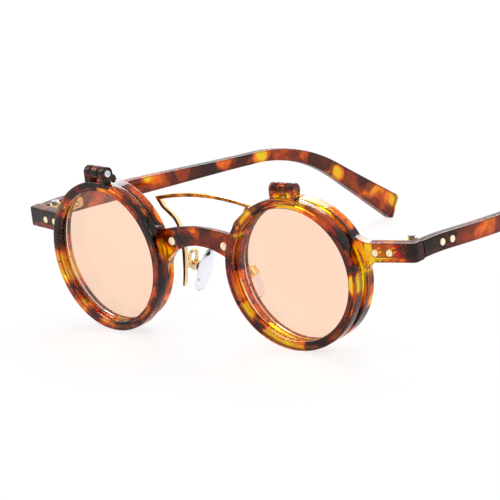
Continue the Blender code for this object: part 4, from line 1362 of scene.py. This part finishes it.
@dataclass
class Rivets:
    """The dome-headed rivets of the front and where they sit."""

    bridge_in: float = 4.8 * MM
    bridge_up: float = 5.85 * MM
    bridge_head: float = 1.15 * MM
    end_head: float = 0.95 * MM
    temple_head: float = 1.0 * MM
    ends_along: tuple[float, float] = (5.9 * MM, 10.2 * MM)
    temple_along: tuple[float, float] = (7.6 * MM, 11.8 * MM)
    shank: float = 0.5 * MM
    proud: float = 0.22 * MM
    shoulder: float = 0.15 * MM
    recess: float = 0.35 * MM
    play: float = 0.16 * MM
    lip: float = 0.12 * MM

    @property
    def bridge_out(self) -> float:
        """How far out the bridge's rivets sit."""
        return LAYOUT.rim_edge - self.bridge_in

    def front_places(self) -> list[tuple[str, Matrix, float]]:
        """(label, frame, head radius) of each rivet on one side of the front.

        Returns:
            The rivets, from the bridge outwards.
        """
        at = (self.bridge_out, BRIDGE.front(self.bridge_out), self.bridge_up)
        places = [("bridge_rivet", facing(at, (0, 1, 0)), self.bridge_head)]
        for label, along in zip(("inner", "outer"), self.ends_along):
            frame_at = LAYOUT.end_root @ Matrix.Translation((along, 0, LAYOUT.end_middle))
            places.append((f"end_rivet_{label}", frame_at, self.end_head))
        return places

    def shape(self, head: float, length: float) -> Shape:
        """A rivet with a low polished dome.

        Args:
            head: The head's radius.
            length: How far its shank reaches in.

        Returns:
            The shape, along Y.
        """
        turns = [math.radians(9 * i) for i in range(1, 10)]
        dome = [(head * math.sin(a), -self.proud * math.cos(a)) for a in turns]
        sides = [(head, self.shoulder), (head, self.recess), (self.shank, self.recess)]
        return turned([(0, -self.proud), *dome, *sides, (self.shank, length), (0, length)], 48)

    def seat(self, head: float) -> Shape:
        """The countersink that the head sits in.

        Args:
            head: The head's radius.

        Returns:
            The cutter, along Y.
        """
        rim = head + self.play
        mouth = rim + self.lip
        above = -2 * MM
        bevel = [(mouth, -self.lip * 0.2), (rim, self.lip)]
        return turned([(0, above), (mouth, above), *bevel, (rim, self.recess), (0, self.recess)], 48)


@dataclass
class FrontFrame:
    """The moulded front: two rims, the bridge, both end pieces and the hinge knuckles."""

    bench: Bench
    finishes: Finishes
    rivets: Rivets
    edge: float = 0.45 * MM
    lens_seat: float = 0.8 * MM
    lens_thickness: float = 1.2 * MM
    groove: float = 0.8 * MM
    rebate: float = 0.2 * MM
    flare: float = 0.95 * MM
    crown: float = 0.6 * MM
    knuckle_length: float = 2.7 * MM
    knuckle_radius: float = 1.9 * MM
    bridge_depth: float = 3.6 * MM
    bridge_root: float = 3.4 * MM
    rivet_length: float = 4.8 * MM
    pin_bore: float = 0.8 * MM
    grain: float = 0.17 * MM
    segments: int = 200

    def rim_profile(self) -> list[Point2]:
        """A rim's section: rounded outside, lens groove, and a flare at the back.

        Returns:
            (radius, depth) points.
        """
        inside, outside = LAYOUT.rim_sight, LAYOUT.rim_radius
        front, back = LAYOUT.rim_front, LAYOUT.rim_front + LAYOUT.rim_depth
        seat = front + self.lens_seat
        seat_end = seat + self.lens_thickness + 2 * LAYOUT.gap
        behind = inside + self.rebate
        return rounded(
            [
                (inside, front, 0.2 * MM),
                (outside, front, self.edge),
                (outside, back, self.edge),
                (behind + self.flare, back, 0.06 * MM),
                (behind, back - self.flare, 0.1 * MM),
                (behind, seat_end, 0),
                (inside + self.groove, seat_end, 0),
                (inside + self.groove, seat, 0),
                (inside, seat, 0),
            ]
        )

    def bridge(self) -> Shape:
        """The bridge between the rims, its back edges rounder than its front ones.

        Returns:
            The closed shape, which reaches into both rims.
        """
        depth, reach = self.bridge_depth, LAYOUT.rim_edge + self.bridge_root
        stations = 60
        sections = []
        for step in range(stations + 1):
            x = reach * math.sin(math.pi / 2 * (2 * step / stations - 1))
            top, bottom, front = BRIDGE.top(x), BRIDGE.bottom(x), BRIDGE.front(x)
            corners = [
                (front, bottom, self.edge),
                (front, top, self.edge),
                (front + depth, top - 0.8 * MM, 1.5 * MM),
                (front + depth, bottom, 0.9 * MM),
            ]
            sections.append([(x, y, z) for y, z in rounded(corners, 6)])
        return lofted(sections)

    def end_plan(self) -> list[Point2]:
        """The end piece from above: out along the front, round the corner, back to the joint.

        Returns:
            (out, back) points.
        """
        root = LAYOUT.end_root
        along, back = root.col[0].xy, root.col[1].xy
        start = root.translation.xy - along * 0.6 * MM
        corner = root.translation.xy + along * (LAYOUT.end_out - root.translation.x) / along.x
        inner_start = start + back * LAYOUT.end_depth
        inner = inner_start + along * (LAYOUT.temple_inside - inner_start.x) / along.x
        return rounded(
            [
                (*start, 0),
                (*corner, 1.3 * MM),
                (LAYOUT.end_out, LAYOUT.end_back, 0),
                (LAYOUT.temple_inside, LAYOUT.end_back, 0),
                (*inner, 0.6 * MM),
                (*inner_start, 0),
            ],
            8,
        )

    def end_gusset(self) -> Shape:
        """The flare between rim and end piece.

        Returns:
            The closed shape.
        """
        top = LAYOUT.end_middle + LAYOUT.end_height / 2
        bottom = LAYOUT.end_middle - LAYOUT.end_height / 2
        rim = LAYOUT.end_root_inset
        root = rim - 2.4 * MM
        flow = smooth_path(
            [
                (rim + 3.7 * MM, bottom + 0.3 * MM),
                (rim + 2.3 * MM, bottom - 0.3 * MM),
                (rim + 1.1 * MM, bottom - 1.2 * MM),
                (rim + 0.2 * MM, bottom - 2.6 * MM),
                (rim - 0.2 * MM, bottom - 4.4 * MM),
            ],
            4,
        )
        crest = smooth_path(
            [
                (root, top + 1.7 * MM),
                (rim - 0.3 * MM, top + 0.5 * MM),
                (rim + 1.7 * MM, top + 0.02 * MM),
                (rim + 3.7 * MM, top - 0.3 * MM),
            ],
            4,
        )
        outline = [*[tuple(p) for p in crest], *[tuple(p) for p in flow], (root, bottom - 4.4 * MM)]
        inset = 0.1 * MM
        return moved(prism(outline, inset, LAYOUT.end_depth - inset, "Y"), LAYOUT.end_root)

    def knuckle_outline(self) -> list[Point2]:
        """The knuckle that reaches forward over the closed flip ring.

        Returns:
            (depth, height) points from the hinge axis.
        """
        edge = LAYOUT.rim_radius - LAYOUT.flip_radius - LAYOUT.hinge_up
        foot = edge - 0.85 * MM
        front = LAYOUT.rim_front - LAYOUT.hinge_depth + 0.05 * MM
        back = front + 3.35 * MM
        over = arc((0, 0), self.knuckle_radius, 40, 300, 32)
        return [(back, foot), (back, edge + 0.8 * MM), *over, (front, edge + 0.55 * MM), (front, foot)]

    def build_moulding(self) -> None:
        """Runs every part of the front into one skin and seats the rivets in it."""
        bench = self.bench
        low = LAYOUT.end_middle - LAYOUT.end_height / 2
        high = LAYOUT.end_middle + LAYOUT.end_height / 2
        half = self.knuckle_length / 2
        inside_rim = LAYOUT.rim_sight + 0.75 * MM
        arms = [bench.loose("bridge", self.bridge())]
        for side in Side:
            end = bench.loose("end", prism(self.end_plan(), low, high), side)
            bench.soften(end, self.edge, 4)
            gusset = bench.loose("gusset", self.end_gusset(), side)
            bench.soften(gusset, 0.4 * MM, 3, 50)
            arms += [end, gusset]
        for arm in arms:
            plugs = []
            for side in Side:
                plug = moved(rod(inside_rim, -9 * MM, 20 * MM, 96), LAYOUT.rim)
                plugs.append(bench.loose("plug", plug, side))
            bench.combine(arm, plugs, Join.CUT)
        others = list(arms)
        for side in Side:
            knuckle = bench.loose(
                "knuckle", moved(prism(self.knuckle_outline(), -half, half, "X"), LAYOUT.flip_axis), side
            )
            bench.soften(knuckle, 0.35 * MM, 4, 25)
            others.append(knuckle)
            rim = moved(turned(self.rim_profile(), self.segments), LAYOUT.rim)
            others.append(bench.loose("rim", rim, side))
        front = others.pop()
        front.name = "tortoise_front"
        bench.fuse(front, others, self.grain, 3)
        cutters = []
        for side in Side:
            bore = rod(self.pin_bore, -half - MM, half + MM)
            cutters.append(bench.loose("bore", moved(bore, LAYOUT.flip_screw), side))
            for _, at, head in self.rivets.front_places():
                cutters.append(bench.loose("seat", moved(self.rivets.seat(head), at), side))
        bench.combine(front, cutters, Join.CUT)
        bench.dress(front, self.finishes.acetate, "front", "tortoise", ["front_frame"], 45)

    def build_fittings(self) -> None:
        """The clear lenses and the front's rivets."""
        radius = LAYOUT.rim_sight + self.groove - LAYOUT.gap
        depth = LAYOUT.rim_front + self.lens_seat + LAYOUT.gap
        for side in Side:
            shape = turned(lens_profile(radius, depth, self.lens_thickness, self.crown), self.segments)
            lens = self.bench.loose(f"clear_lens_{side.label}", moved(shape, LAYOUT.rim), side)
            self.bench.dress(lens, self.finishes.clear, "front", "clear_lens", [f"main_lens_{side.label}"])
            for label, at, head in self.rivets.front_places():
                shape = moved(self.rivets.shape(head, self.rivet_length), at)
                rivet = self.bench.loose(f"gold_{label}_{side.label}", shape, side)
                self.bench.dress(rivet, self.finishes.gold, "front", "gold", [f"{label}_{side.label}"], 50)

    def build(self) -> None:
        """All of the front."""
        self.build_moulding()
        self.build_fittings()


# ------------------------------------------------------------------ wire bridge and nose pads


@dataclass
class WireBridge:
    """The brow bar, its two legs and the eyelets round the bridge rivets."""

    bench: Bench
    finishes: Finishes
    rivets: Rivets
    width: float = 1.0 * MM
    depth: float = 1.2 * MM
    tip_width: float = 0.55 * MM
    arch_rise: float = 1.75 * MM
    eyelet: float = 2.9 * MM
    softness: float = 0.22 * MM
    rivet_hole: float = 0.65 * MM
    leg: tuple[Point2, ...] = (
        (-3.2, -8.3), (-4.2, -3.8), (-4.9, 2.0), (-4.8, 5.85), (-4.3, 8.9),
        (-3.2, 11.1), (-1.3, 12.8), (0.5, 14.2), (1.4, 15.5), (2.1, 16.6),
    )

    @property
    def front(self) -> float:
        """How far back the wire's front face lies."""
        return BRIDGE.front(self.rivets.bridge_out + self.eyelet / 2) + FrontFrame.bridge_depth + LAYOUT.gap

    def leg_line(self) -> list[Vector]:
        """The leg's centreline from its tip to the arch's corner."""
        return smooth_path([(LAYOUT.rim_edge + x * MM, z * MM) for x, z in self.leg], 8)

    def leg_out(self, height: float) -> float:
        """How far out the leg's centreline lies at a height.

        Args:
            height: The height.

        Returns:
            The distance from the middle.
        """
        line = self.leg_line()
        nearest = min(line, key=lambda p: abs(p.y - height))
        return nearest.x

    def outline(self) -> list[Point2]:
        """Both edges of the wire, from one leg's tip over the arch to the other's.

        Returns:
            (out, up) points, all round.
        """
        leg = self.leg_line()
        corner, tip = leg[-1], leg[0].y
        steps = 18
        arch = []
        for step in range(1, steps + 1):
            share = 1 - step / steps
            arch.append(Vector((corner.x * share, corner.y + self.arch_rise * (1 - share * share))))
        half = leg + arch
        line = half + [Vector((-p.x, p.y)) for p in reversed(half[:-1])]
        rivet_at = Vector((self.rivets.bridge_out, self.rivets.bridge_up))
        one_edge, other_edge = [], []
        for i, point in enumerate(line):
            before = (point - line[i - 1]).normalized() if i else (line[1] - point).normalized()
            after = (line[i + 1] - point).normalized() if i + 1 < len(line) else before
            across = Vector((-(before + after).y, (before + after).x)).normalized()
            stretch = min(1 / max(across.dot(Vector((-before.y, before.x))), 0.3), 2.0)
            rise = (point.y - tip) / (self.rivets.bridge_up - tip)
            width = self.tip_width + (self.width - self.tip_width) * min(rise * 1.5, 1)
            apart = (Vector((abs(point.x), point.y)) - rivet_at).length / (self.eyelet / 2)
            if apart < 1:
                width = max(width, self.eyelet * math.sqrt(1 - apart * apart))
            one_edge.append(tuple(point + across * stretch * width / 2))
            other_edge.append(tuple(point - across * stretch * width / 2))
        return one_edge + other_edge[::-1]

    def build(self) -> None:
        """The wire, softened all round and pierced for its rivets."""
        low = self.front
        wire = self.bench.loose("gold_brow_wire", prism(self.outline(), low, low + self.depth, "Y"))
        self.bench.soften(wire, self.softness, 3, 50)
        holes = []
        for side in Side:
            at = Matrix.Translation((self.rivets.bridge_out, 0, self.rivets.bridge_up))
            hole = moved(rod(self.rivet_hole, low - MM, low + 3 * MM), at)
            holes.append(self.bench.loose("hole", hole, side))
        self.bench.combine(wire, holes, Join.CUT)
        self.bench.dress(wire, self.finishes.two_tone, "front", "gold", ["nose_bridge_wire"], 40)


@dataclass
class NosePad(SidePart):
    """One silicone pad with its insert, its box, its screw and the arm that carries it."""

    wire: WireBridge
    pivot_in: float = 3.7 * MM
    pivot_back: float = 11.4 * MM
    pivot_down: float = 3.8 * MM
    down: Corner = (0.48, 0.15, -0.864)
    toward: Corner = (-1.0, 0.02, 0.0)
    length: float = 14.6 * MM
    width: float = 7.4 * MM
    thickness: float = 2.3 * MM
    taper: float = 0.12
    box_width: float = 2.4 * MM
    box_length: float = 2.9 * MM
    box_base: float = 1.4 * MM
    box_rise: float = 0.7 * MM
    box_corner: float = 0.45 * MM
    box_softness: float = 0.42 * MM
    box_wall: float = 0.5 * MM
    slot_floor: float = 1.05 * MM
    lug_radius: float = 0.75 * MM
    lug_thickness: float = 0.8 * MM
    lug_reach: float = 1.3 * MM
    screw_radius: float = 0.3 * MM
    screw_head: float = 0.7 * MM
    screw_dome: float = 0.45 * MM
    plate: float = 1.1 * MM
    plate_thickness: float = 0.4 * MM
    arm_radius: float = 0.5 * MM
    arm_height: float = -3.0 * MM

    @property
    def frame(self) -> Matrix:
        """The pad's own frame: X across, Y towards the nose, Z up its length.

        Returns:
            The matrix to front space.
        """
        down = Vector(self.down).normalized()
        facing_nose = Vector(self.toward)
        toward = (facing_nose - down * facing_nose.dot(down)).normalized()
        turn = Matrix((toward.cross(-down), toward, -down)).transposed()
        pivot = Vector((LAYOUT.rim_edge - self.pivot_in, self.pivot_back, -self.pivot_down))
        return Matrix.Translation(pivot) @ turn.to_4x4()

    @property
    def across(self) -> Matrix:
        """The same frame, with Y across the pad along its screw."""
        return self.frame @ facing((0, 0, 0), (1, 0, 0))

    def cushion(self) -> Shape:
        """The silicone pad: an oval cushion, a little narrower at its top.

        Returns:
            The closed shape, in the pad's frame.
        """
        front = self.plate + self.plate_thickness + LAYOUT.gap
        stations, around = 40, 40
        sections = []
        for step in range(stations + 1):
            along = -math.cos(math.pi * (0.02 + 0.96 * step / stations))
            swell = math.sqrt(1 - along * along)
            width = self.width / 2 * swell * (1 - self.taper * along)
            depth = self.thickness / 2 * swell**0.6
            section = []
            for turn in range(around):
                angle = 2 * math.pi * turn / around
                bulge = math.sin(angle) * (1 if math.sin(angle) > 0 else 0.9)
                across = width * math.cos(angle)
                section.append((across, front + self.thickness / 2 + depth * bulge, along * self.length / 2))
            sections.append(section)
        return lofted(sections)

    def arm_route(self) -> list[Vector]:
        """From the wire's leg up and over in a tight loop, then straight down into the top of the box.

        Returns:
            The route's points.
        """
        at = self.frame
        behind = self.wire.front + self.wire.depth
        start = Vector((self.wire.leg_out(self.arm_height), behind, self.arm_height))
        middle = (self.box_rise - self.box_base) / 2
        top = self.box_length / 2
        box_top = at @ Vector((0, middle, top))
        return [
            start - Vector((0, 0.2, 0)) * MM,
            start + Vector((0.0, 0.6, 0.1)) * MM,
            start + Vector((0.0, 1.3, 1.4)) * MM,
            start + Vector((-0.2, 1.8, 3.2)) * MM,
            box_top + Vector((-0.8, -1.6, 3.3)) * MM,
            box_top + Vector((-1.0, -0.5, 3.0)) * MM,
            at @ Vector((0, middle, top + 1.3 * MM)),
            at @ Vector((0, middle, top + 0.6 * MM)),
            at @ Vector((0, middle, top - 0.2 * MM)),
        ]

    def build_cushion(self) -> None:
        """The pad and the metal insert inside its base."""
        label = self.side.label
        body = f"pad_{label}"
        pad = self.draw(f"silicone_pad_{label}", self.cushion(), self.frame)
        self.bench.dress(pad, self.finishes.silicone, body, "silicone", [f"nose_pad_{label}"], 60)
        radius, half = self.lug_radius, self.lug_thickness / 2
        lug = [*arc((0, 0), radius, 180, 360, 20), (radius, self.lug_reach), (-radius, self.lug_reach)]
        insert = self.draw(f"pad_stem_{label}", prism([(b, a) for a, b in lug], -half, half, "X"), self.frame)
        plate_outline = rounded_rectangle(2 * MM, 3 * MM, 0.5 * MM)
        plate = prism(plate_outline, self.plate, self.plate + self.plate_thickness, "Y")
        self.bench.combine(insert, [self.draw("plate", plate, self.frame)], Join.ADD)
        bore = self.draw("bore", rod(0.45 * MM, -2 * MM, 2 * MM), self.across)
        self.bench.combine(insert, [bore], Join.CUT)
        self.bench.dress(insert, self.finishes.steel, body, "steel", [f"pad_insert_{label}"])

    def build_box(self) -> None:
        """The small box that the insert rocks in, and its screw."""
        label = self.side.label
        outline = rounded_rectangle(self.box_width, self.box_length, self.box_corner)
        block = prism(outline, -self.box_base, self.box_rise, "Y")
        box = self.draw(f"gold_pad_box_{label}", block, self.frame)
        self.bench.soften(box, self.box_softness, 4, 50)
        half, floor = self.box_width / 2 - self.box_wall, -self.slot_floor
        slot_outline = [(-half, floor), (half, floor), (half, 2 * MM), (-half, 2 * MM)]
        cutters = [
            self.draw("slot", prism(slot_outline, -self.slot_floor, self.slot_floor), self.frame),
            self.draw("bore", rod(0.5 * MM, -3 * MM, 3 * MM), self.across),
        ]
        self.bench.combine(box, cutters, Join.CUT)
        self.bench.dress(box, self.finishes.old_gold, "front", "gold", [f"pad_box_{label}"])
        reach = self.box_width / 2
        under, head, dome = -reach - 0.1 * MM, self.screw_head, self.screw_dome
        turns = [math.radians(15 * i) for i in range(1, 6)]
        cap = [(head * math.sin(a), under - dome * math.cos(a)) for a in turns]
        shank = [(self.screw_radius, under), (self.screw_radius, reach), (0, reach)]
        profile = [(0, under - dome), *cap, (head, under), *shank]
        screw = self.draw(f"gold_pad_screw_{label}", turned(profile, 36), self.across)
        self.bench.dress(screw, self.finishes.gold, "front", "gold", [f"pad_screw_{label}"])

    def build(self) -> None:
        """All of the pad and its arm."""
        self.build_cushion()
        self.build_box()
        label = self.side.label
        shape = swept(smooth_path(self.arm_route(), 8), self.arm_radius)
        arm = self.bench.loose(f"gold_pad_arm_{label}", shape, self.side)
        self.bench.dress(arm, self.finishes.old_gold, "front", "gold", [f"pad_arm_{label}"], 60)


# ------------------------------------------------------------------ temples


@dataclass
class Temple(SidePart):
    """One temple: a shaped acetate arm with two rivets through its hinge end."""

    rivets: Rivets
    length: float = 147.3 * MM
    tip_thickness: float = 3.0 * MM
    bend_start: float = 85.5 * MM
    bend_length: float = 33.5 * MM
    pitch: float = math.radians(5.5)
    bend: float = math.radians(33.4)
    toe_in: float = math.radians(5.1)
    straight: float = 18.0 * MM
    ease: float = 12.0 * MM
    heights: tuple[float, ...] = (4.9 * MM, 4.8 * MM, 3.4 * MM, 4.6 * MM, 7.6 * MM)
    heights_at: tuple[float, ...] = (0.0, 0.27, 0.56, 0.80, 1.0)
    tip_radius: float = 1.7 * MM
    tip_skew: float = math.radians(-5.0)
    edge: float = 0.6 * MM
    rivet_length: float = 4.4 * MM

    def slope(self, at: float) -> float:
        """How steeply the temple falls at a distance from its joint.

        Args:
            at: The distance.

        Returns:
            The slope in radians.
        """
        settled = min(at / self.ease, 1)
        turned_down = min(max((at - self.bend_start) / self.bend_length, 0), 1)
        return self.pitch * settled + self.bend * turned_down

    def stations(self) -> list[tuple[float, Vector, float, float]]:
        """(distance, centre, slope, inset) along the temple.

        Returns:
            The stations, closer together round the tip's corner.
        """
        step, spacing = 0.25 * MM, 1.5 * MM
        corner = self.length - self.tip_radius
        wanted = [spacing * i for i in range(int(corner / spacing) + 1)]
        wanted += [corner + self.tip_radius * math.sin(math.radians(9 * i)) for i in range(11)]
        y, z, at = LAYOUT.end_back + LAYOUT.gap * 0.5, LAYOUT.end_middle, 0.0
        found = []
        for goal in wanted:
            steps = max(round((goal - at) / step), 1)
            ahead = (goal - at) / steps
            for _ in range(steps):
                slope = self.slope(at + ahead / 2)
                y += ahead * math.cos(slope)
                z -= ahead * math.sin(slope)
                at += ahead
            toe = max(at - self.straight, 0)
            inward = math.tan(self.toe_in) * toe * toe / (toe + self.ease)
            found.append((at, Vector((0, y, z)), self.slope(at), inward))
        return found

    def shape(self) -> Shape:
        """The arm, lofted through rounded sections.

        Returns:
            The closed shape.
        """
        sections = []
        for at, centre, slope, inward in self.stations():
            share = at / self.length
            height = blended(self.heights, self.heights_at, share)
            thickness = LAYOUT.temple_thickness + (self.tip_thickness - LAYOUT.temple_thickness) * share
            from_corner = max(at - (self.length - self.tip_radius), 0)
            pull = self.tip_radius - math.sqrt(max(self.tip_radius**2 - from_corner**2, 0))
            height -= 2 * pull
            thickness -= 1.3 * pull * thickness / height if height > thickness else 0
            thickness = max(thickness, 0.8 * MM)
            tilt = slope + self.tip_skew * max(share - 0.9, 0) / 0.1
            up = Vector((0, math.sin(tilt), math.cos(tilt)))
            middle = Vector((LAYOUT.end_out - thickness / 2 - inward, centre.y, centre.z))
            edge = min(self.edge, height / 2.3, thickness / 2.3)
            outline = rounded_rectangle(thickness, height, edge, 5)
            sections.append([middle + Vector((1, 0, 0)) * out + up * rise for out, rise in outline])
        return lofted(sections)

    def rivet_frames(self) -> list[tuple[str, Matrix]]:
        """(label, frame) of each rivet, from the outer face in.

        Returns:
            The front rivet and the rear one.
        """
        stations = self.stations()
        frames = []
        for label, along in zip(("front", "rear"), self.rivets.temple_along):
            nearest = min(stations, key=lambda s: abs(s[0] - along))
            at = (LAYOUT.end_out, LAYOUT.end_back + LAYOUT.gap + along, nearest[1].z)
            frames.append((label, facing(at, (-1, 0, 0))))
        return frames

    def build(self) -> None:
        """The arm with its rivets."""
        label = self.side.label
        arm = self.bench.loose(f"tortoise_temple_{label}", self.shape(), self.side)
        head = self.rivets.temple_head
        seats = [self.draw("seat", self.rivets.seat(head), at) for _, at in self.rivet_frames()]
        self.bench.combine(arm, seats, Join.CUT)
        self.bench.dress(arm, self.finishes.temple, f"temple_{label}", "tortoise", [f"temple_{label}"], 40)
        for place, at in self.rivet_frames():
            shape = self.rivets.shape(head, self.rivet_length)
            rivet = self.draw(f"gold_temple_rivet_{place}_{label}", shape, at)
            node = f"temple_rivet_{place}_{label}"
            self.bench.dress(rivet, self.finishes.gold, f"temple_{label}", "gold", [node], 50)


class TempleHinges:
    """The hinge leaves and pins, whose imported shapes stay."""

    def __init__(self, finishes: Finishes) -> None:
        """Keeps the finishes."""
        self.finishes = finishes

    def build(self) -> None:
        """Gives every leaf and pin its metal."""
        for side in Side:
            for name in (f"hinge_leaf_front_{side.label}", f"hinge_leaf_temple_{side.label}"):
                self.dress(name, self.finishes.brass, "brass")
            self.dress(f"hinge_screw_{side.label}", self.finishes.steel, "steel")

    def dress(self, name: str, material: Material, slot: str) -> None:
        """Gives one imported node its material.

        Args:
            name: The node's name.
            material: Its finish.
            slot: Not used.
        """
        node = frame["nodes"][name]
        node.data.materials.clear()
        node.data.materials.append(material)
        log.info("%s: packed shape", name)


# ------------------------------------------------------------------ the studio


@dataclass
class Studio:
    """A white sweep, soft lamps and the camera."""

    bench: Bench
    azimuth: float = math.radians(42.35)
    elevation: float = math.radians(15.25)
    roll: float = math.radians(-7.79)
    distance: float = 1563 * MM
    target: Corner = (20.4 * MM, 0.0, 6.2 * MM)
    lens: float = 416.4
    room_level: float = 0.95
    floor_glow: float = 0.74
    floor_half: float = 4.0
    floor_pale: Colour = (0.80, 0.80, 0.80)
    floor_dark: Colour = (0.78, 0.78, 0.78)
    floor_roughness: float = 0.6
    lamps: tuple[tuple[str, Corner, Point2, float], ...] = (
        ("key", (-0.52, 1.08, 0.93), (1.0, 0.5), 10),
        ("left_fill", (-1.1, -0.5, 0.9), (0.6, 0.6), 2.8),
        ("right_fill", (1.2, 0.3, 0.9), (0.6, 0.6), 2.8),
    )

    def build_camera(self) -> None:
        """A long lens from the wearer's left front, a little above."""
        az, el = self.azimuth, self.elevation
        back = Vector((math.sin(az) * math.cos(el), -math.cos(az) * math.cos(el), math.sin(el)))
        right = Vector((math.cos(az), math.sin(az), 0))
        up = back.cross(right)
        tilted_right = right * math.cos(self.roll) + up * math.sin(self.roll)
        tilted_up = up * math.cos(self.roll) - right * math.sin(self.roll)
        turn = Matrix((tilted_right, tilted_up, back)).transposed().to_4x4()
        place = Matrix.Translation(Vector(self.target) + back * self.distance) @ turn
        camera = bpy.data.objects.new("camera", bpy.data.cameras.new("camera"))
        camera.data.lens = self.lens
        camera.data.clip_start = 0.05
        camera.data.clip_end = 20
        camera.matrix_world = self.bench.stand @ place
        bpy.context.scene.collection.objects.link(camera)
        bpy.context.scene.camera = camera

    def build_floor(self) -> None:
        """A broad white floor that keeps the pair's shadow."""
        shape = bmesh.new()
        bmesh.ops.create_grid(shape, x_segments=8, y_segments=8, size=self.floor_half)
        mesh = bpy.data.meshes.new("floor")
        shape.to_mesh(mesh)
        shape.free()
        floor = bpy.data.objects.new("floor", mesh)
        bpy.context.scene.collection.objects.link(floor)
        material = bpy.data.materials.new("white_sweep")
        material.use_nodes = True
        nodes = Nodes(material.node_tree)
        plain = material.node_tree.nodes["Principled BSDF"]
        grain = nodes.add("TexNoise", Scale=30.0, Detail=2.0)
        colour = nodes.ramp(grain.outputs[0], [(0.3, self.floor_dark), (0.7, self.floor_pale)])
        nodes.link(colour, plain.inputs["Base Color"])
        plain.inputs["Roughness"].default_value = self.floor_roughness
        glow = nodes.add("Emission")
        mix = nodes.add("MixShader", Fac=nodes.times(self.direct_view(nodes), self.floor_glow))
        nodes.link(plain.outputs[0], mix.inputs[1])
        nodes.link(glow.outputs[0], mix.inputs[2])
        nodes.link(mix.outputs[0], material.node_tree.nodes["Material Output"].inputs["Surface"])
        mesh.materials.append(material)

    def lamp(self, name: str, at: Sequence[float], size: Point2, power: float) -> None:
        """A soft lamp that points at the pair.

        Args:
            name: The lamp's name.
            at: Where it hangs, in metres.
            size: Its width and height.
            power: Its power in watts.
        """
        data = bpy.data.lights.new(name, "AREA")
        data.shape = "RECTANGLE"
        data.size, data.size_y = size
        data.energy = power
        lamp = bpy.data.objects.new(name, data)
        lamp.location = at
        lamp.rotation_euler = (-Vector(at)).to_track_quat("-Z", "Y").to_euler()
        bpy.context.scene.collection.objects.link(lamp)

    def build_light(self) -> None:
        """A large lamp behind and above, a fill from either side, and a white room."""
        for lamp in self.lamps:
            self.lamp(*lamp)
        world = bpy.data.worlds.new("white_room")
        bpy.context.scene.world = world
        world.use_nodes = True
        background = world.node_tree.nodes["Background"]
        nodes = Nodes(world.node_tree)
        around = nodes.times(nodes.add("LightPath").outputs["Is Diffuse Ray"], self.room_level)
        level = nodes.most(self.direct_view(nodes), around)
        background.inputs["Color"].default_value = (1, 1, 1, 1)
        nodes.link(level, background.inputs["Strength"])

    @staticmethod
    def direct_view(nodes: Nodes) -> Socket:
        """1 where the camera, a reflection or a view through glass meets the white.

        Args:
            nodes: The material's or the world's nodes.

        Returns:
            The value's socket.
        """
        seen = nodes.add("LightPath")
        bounced = nodes.most(seen.outputs["Is Glossy Ray"], seen.outputs["Is Transmission Ray"])
        return nodes.most(seen.outputs["Is Camera Ray"], bounced)

    def build(self) -> None:
        """All of the studio."""
        self.build_camera()
        self.build_floor()
        self.build_light()
        bpy.context.scene.view_settings.view_transform = "Standard"


# ------------------------------------------------------------------ all of it


def main() -> None:
    """Builds every piece, then the studio."""
    logging.basicConfig(level=logging.INFO, format="%(name)s: %(message)s")
    bench = Bench()
    finishes = Finishes(bench)
    rivets = Rivets()
    Studio(bench).build()
    FrontFrame(bench, finishes, rivets).build()
    wire = WireBridge(bench, finishes, rivets)
    wire.build()
    for side in Side:
        FlipUnit(bench, finishes, side).build()
        NosePad(bench, finishes, side, wire).build()
        Temple(bench, finishes, side, rivets).build()
    TempleHinges(finishes).build()


if __name__ == "__main__":
    main()
